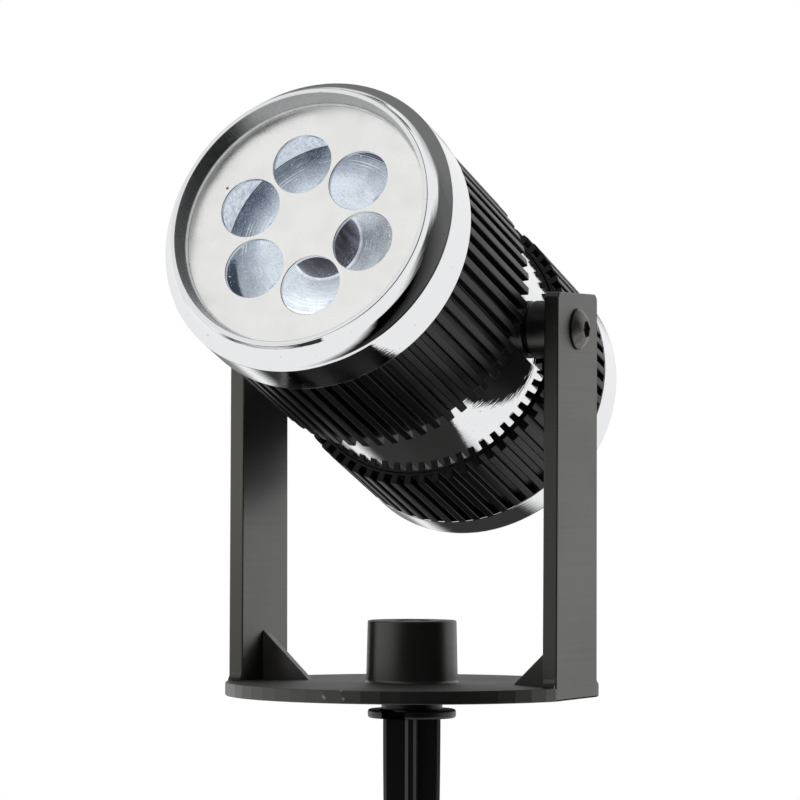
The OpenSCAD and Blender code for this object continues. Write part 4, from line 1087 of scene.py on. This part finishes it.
VIEW_TURN, VIEW_RISE, VIEW_ROLL = radians(24.63), radians(-0.57), radians(0.18)
PIXEL, IMAGE_PX, FOCAL_PX, AIM_RIGHT_PX, AIM_UP_PX = 0.00027, 800.0, 4915.56, 13.04, 69.51
VIEW_FRONT = np.array([sin(VIEW_TURN), -cos(VIEW_TURN), 0])
VIEW_RIGHT = np.array([cos(VIEW_TURN), sin(VIEW_TURN), 0])


def add_floor():
    """White floor under the spike's tip. Near the object it takes the shadow, and farther off camera rays
    see plain white."""
    size, gap = 40.0, 0.0005
    low = -SPIKE_LEN * MM - gap
    mesh = bpy.data.meshes.new("studio_floor")
    corners = [(-size, -size, low), (size, -size, low), (size, size, low), (-size, size, low)]
    mesh.from_pydata(corners, [], [(0, 1, 2, 3)])
    floor = placed("studio_floor", mesh)
    material = bpy.data.materials.new("white floor")
    material.use_nodes = True
    material.node_tree.nodes.clear()
    f = Nodes(material.node_tree)
    spot = f.add("TexCoord").outputs["Object"]
    far = f.soft(f.vector("LENGTH", f.vector("MULTIPLY", spot, (1, 1, 0))), 0.15, 0.75)
    rays = f.add("LightPath").outputs
    clear = f.maths("ADD", rays["Is Glossy Ray"], rays["Is Transmission Ray"])
    clear = f.maths("ADD", rays["Is Camera Ray"], clear, clamp=True)
    matt = f.out("BsdfDiffuse", {"Color": (0.88, 0.88, 0.88)})
    white = f.out("Emission", {"Color": WHITE, "Strength": 1.0})
    mixed = f.out("MixShader", {0: f.mul(far, clear), 1: matt, 2: white})
    f.add("OutputMaterial", {"Surface": mixed})
    mesh.materials.append(material)
    floor.visible_glossy = False


def add_camera():
    """Camera fitted to the photograph: its distance and lens come from one length in pixels, and it is moved
    sideways and down so that the tilt axis falls where it does in the image."""
    back = VIEW_FRONT * cos(VIEW_RISE) + [0, 0, sin(VIEW_RISE)]
    level_up = np.cross(back, VIEW_RIGHT)
    right = VIEW_RIGHT * cos(VIEW_ROLL) + level_up * sin(VIEW_ROLL)
    up = level_up * cos(VIEW_ROLL) - VIEW_RIGHT * sin(VIEW_ROLL)
    place = upright((0, 0, PIVOT_Z)) + (back * FOCAL_PX - right * AIM_RIGHT_PX - up * AIM_UP_PX) * PIXEL
    data = bpy.data.cameras.new("camera")
    data.sensor_width = 36.0
    data.lens = FOCAL_PX * data.sensor_width / IMAGE_PX
    data.clip_start, data.clip_end = 0.05, 100.0
    camera = placed("camera", data)
    camera.matrix_world = Matrix.Translation(place) @ Matrix((right, up, back)).transposed().to_4x4()
    bpy.context.scene.camera = camera


def add_world():
    """White studio. Reflections see bright walls at the left, the right and behind, a dim ceiling, the dark
    room round the camera, a grey strip low behind the object, dark ground below that and one soft window
    high on the front left. Camera rays see plain white, and everything else is lit evenly."""
    world = bpy.data.worlds.new("studio")
    bpy.context.scene.world = world
    world.use_nodes = True
    world.node_tree.nodes.clear()
    w = Nodes(world.node_tree)
    way = w.add("TexCoord").outputs["Generated"]
    def facing(direction):
        return w.vector("DOT_PRODUCT", way, tuple(np.asarray(direction) / np.linalg.norm(direction)))
    def between(value, low, low_end, high, high_end):
        return w.maths("SUBTRACT", w.soft(value, low, low_end), w.soft(value, high, high_end))
    def patch(level, mask, value):
        return w.out("Mix", {0: mask, 2: level, 3: value})
    front = facing(VIEW_FRONT)
    turn = w.maths("DEGREES", w.maths("ARCTAN2", facing(VIEW_RIGHT), front))
    rise = w.maths("DEGREES", w.maths("ARCSINE", facing((0, 0, 1))))
    lean = w.mul_add(w.maths("ADD", rise, 23.0), 1.6, turn)
    sides = w.mul(w.soft(lean, -28, 4), w.soft(w.mul_add(rise, -1.2, turn), 95, 72))
    sides = w.mul(sides, w.soft(turn, 94, 78))
    room = w.mul(sides, between(rise, -46, -37, 44, 60))
    ceiling = w.mul(w.soft(rise, 34, 52), w.soft(front, -0.98, -0.85))
    behind = w.mul(w.soft(front, -0.90, -0.97), between(rise, -26, -16, 4, 12))
    ground = w.mul(w.soft(w.maths("ABSOLUTE", turn), 138, 150), w.soft(rise, -22, -33))
    window = w.soft(facing((-0.42, -0.66, 0.62)), 0.80, 0.90)
    level = patch(patch(patch(1.0, ceiling, 0.2), behind, 0.25), ground, 0.04)
    level = patch(patch(level, room, w.spread(rise, -12, 36, 0.0, 0.14)), window, 0.92)
    rays = w.add("LightPath").outputs
    lit = patch(0.95, rays["Is Glossy Ray"], level)
    seen = w.maths("MAXIMUM", lit, w.maths("MAXIMUM", rays["Is Camera Ray"], rays["Is Transmission Ray"]))
    colour = w.out("CombineColor", {0: seen, 1: seen, 2: seen})
    background = w.out("Background", {"Color": colour, "Strength": 1.0})
    w.add("OutputWorld", {"Surface": background})


def add_lamp(name, place, target, size, power):
    """Square soft lamp that shines from a place towards a target."""
    data = bpy.data.lights.new(name, "AREA")
    data.size, data.energy = size, power
    lamp = placed(name, data)
    lamp.visible_glossy = False
    way = Vector(target) - Vector(place)
    lamp.matrix_world = Matrix.Translation(place) @ way.to_track_quat("-Z", "Y").to_matrix().to_4x4()


add_floor()
add_camera()
add_world()
add_lamp("soft_window", (-0.9, -1.3, 1.5), (0, 0, 0.08), 0.9, 4.0)
bpy.context.scene.view_settings.view_transform = "Standard"
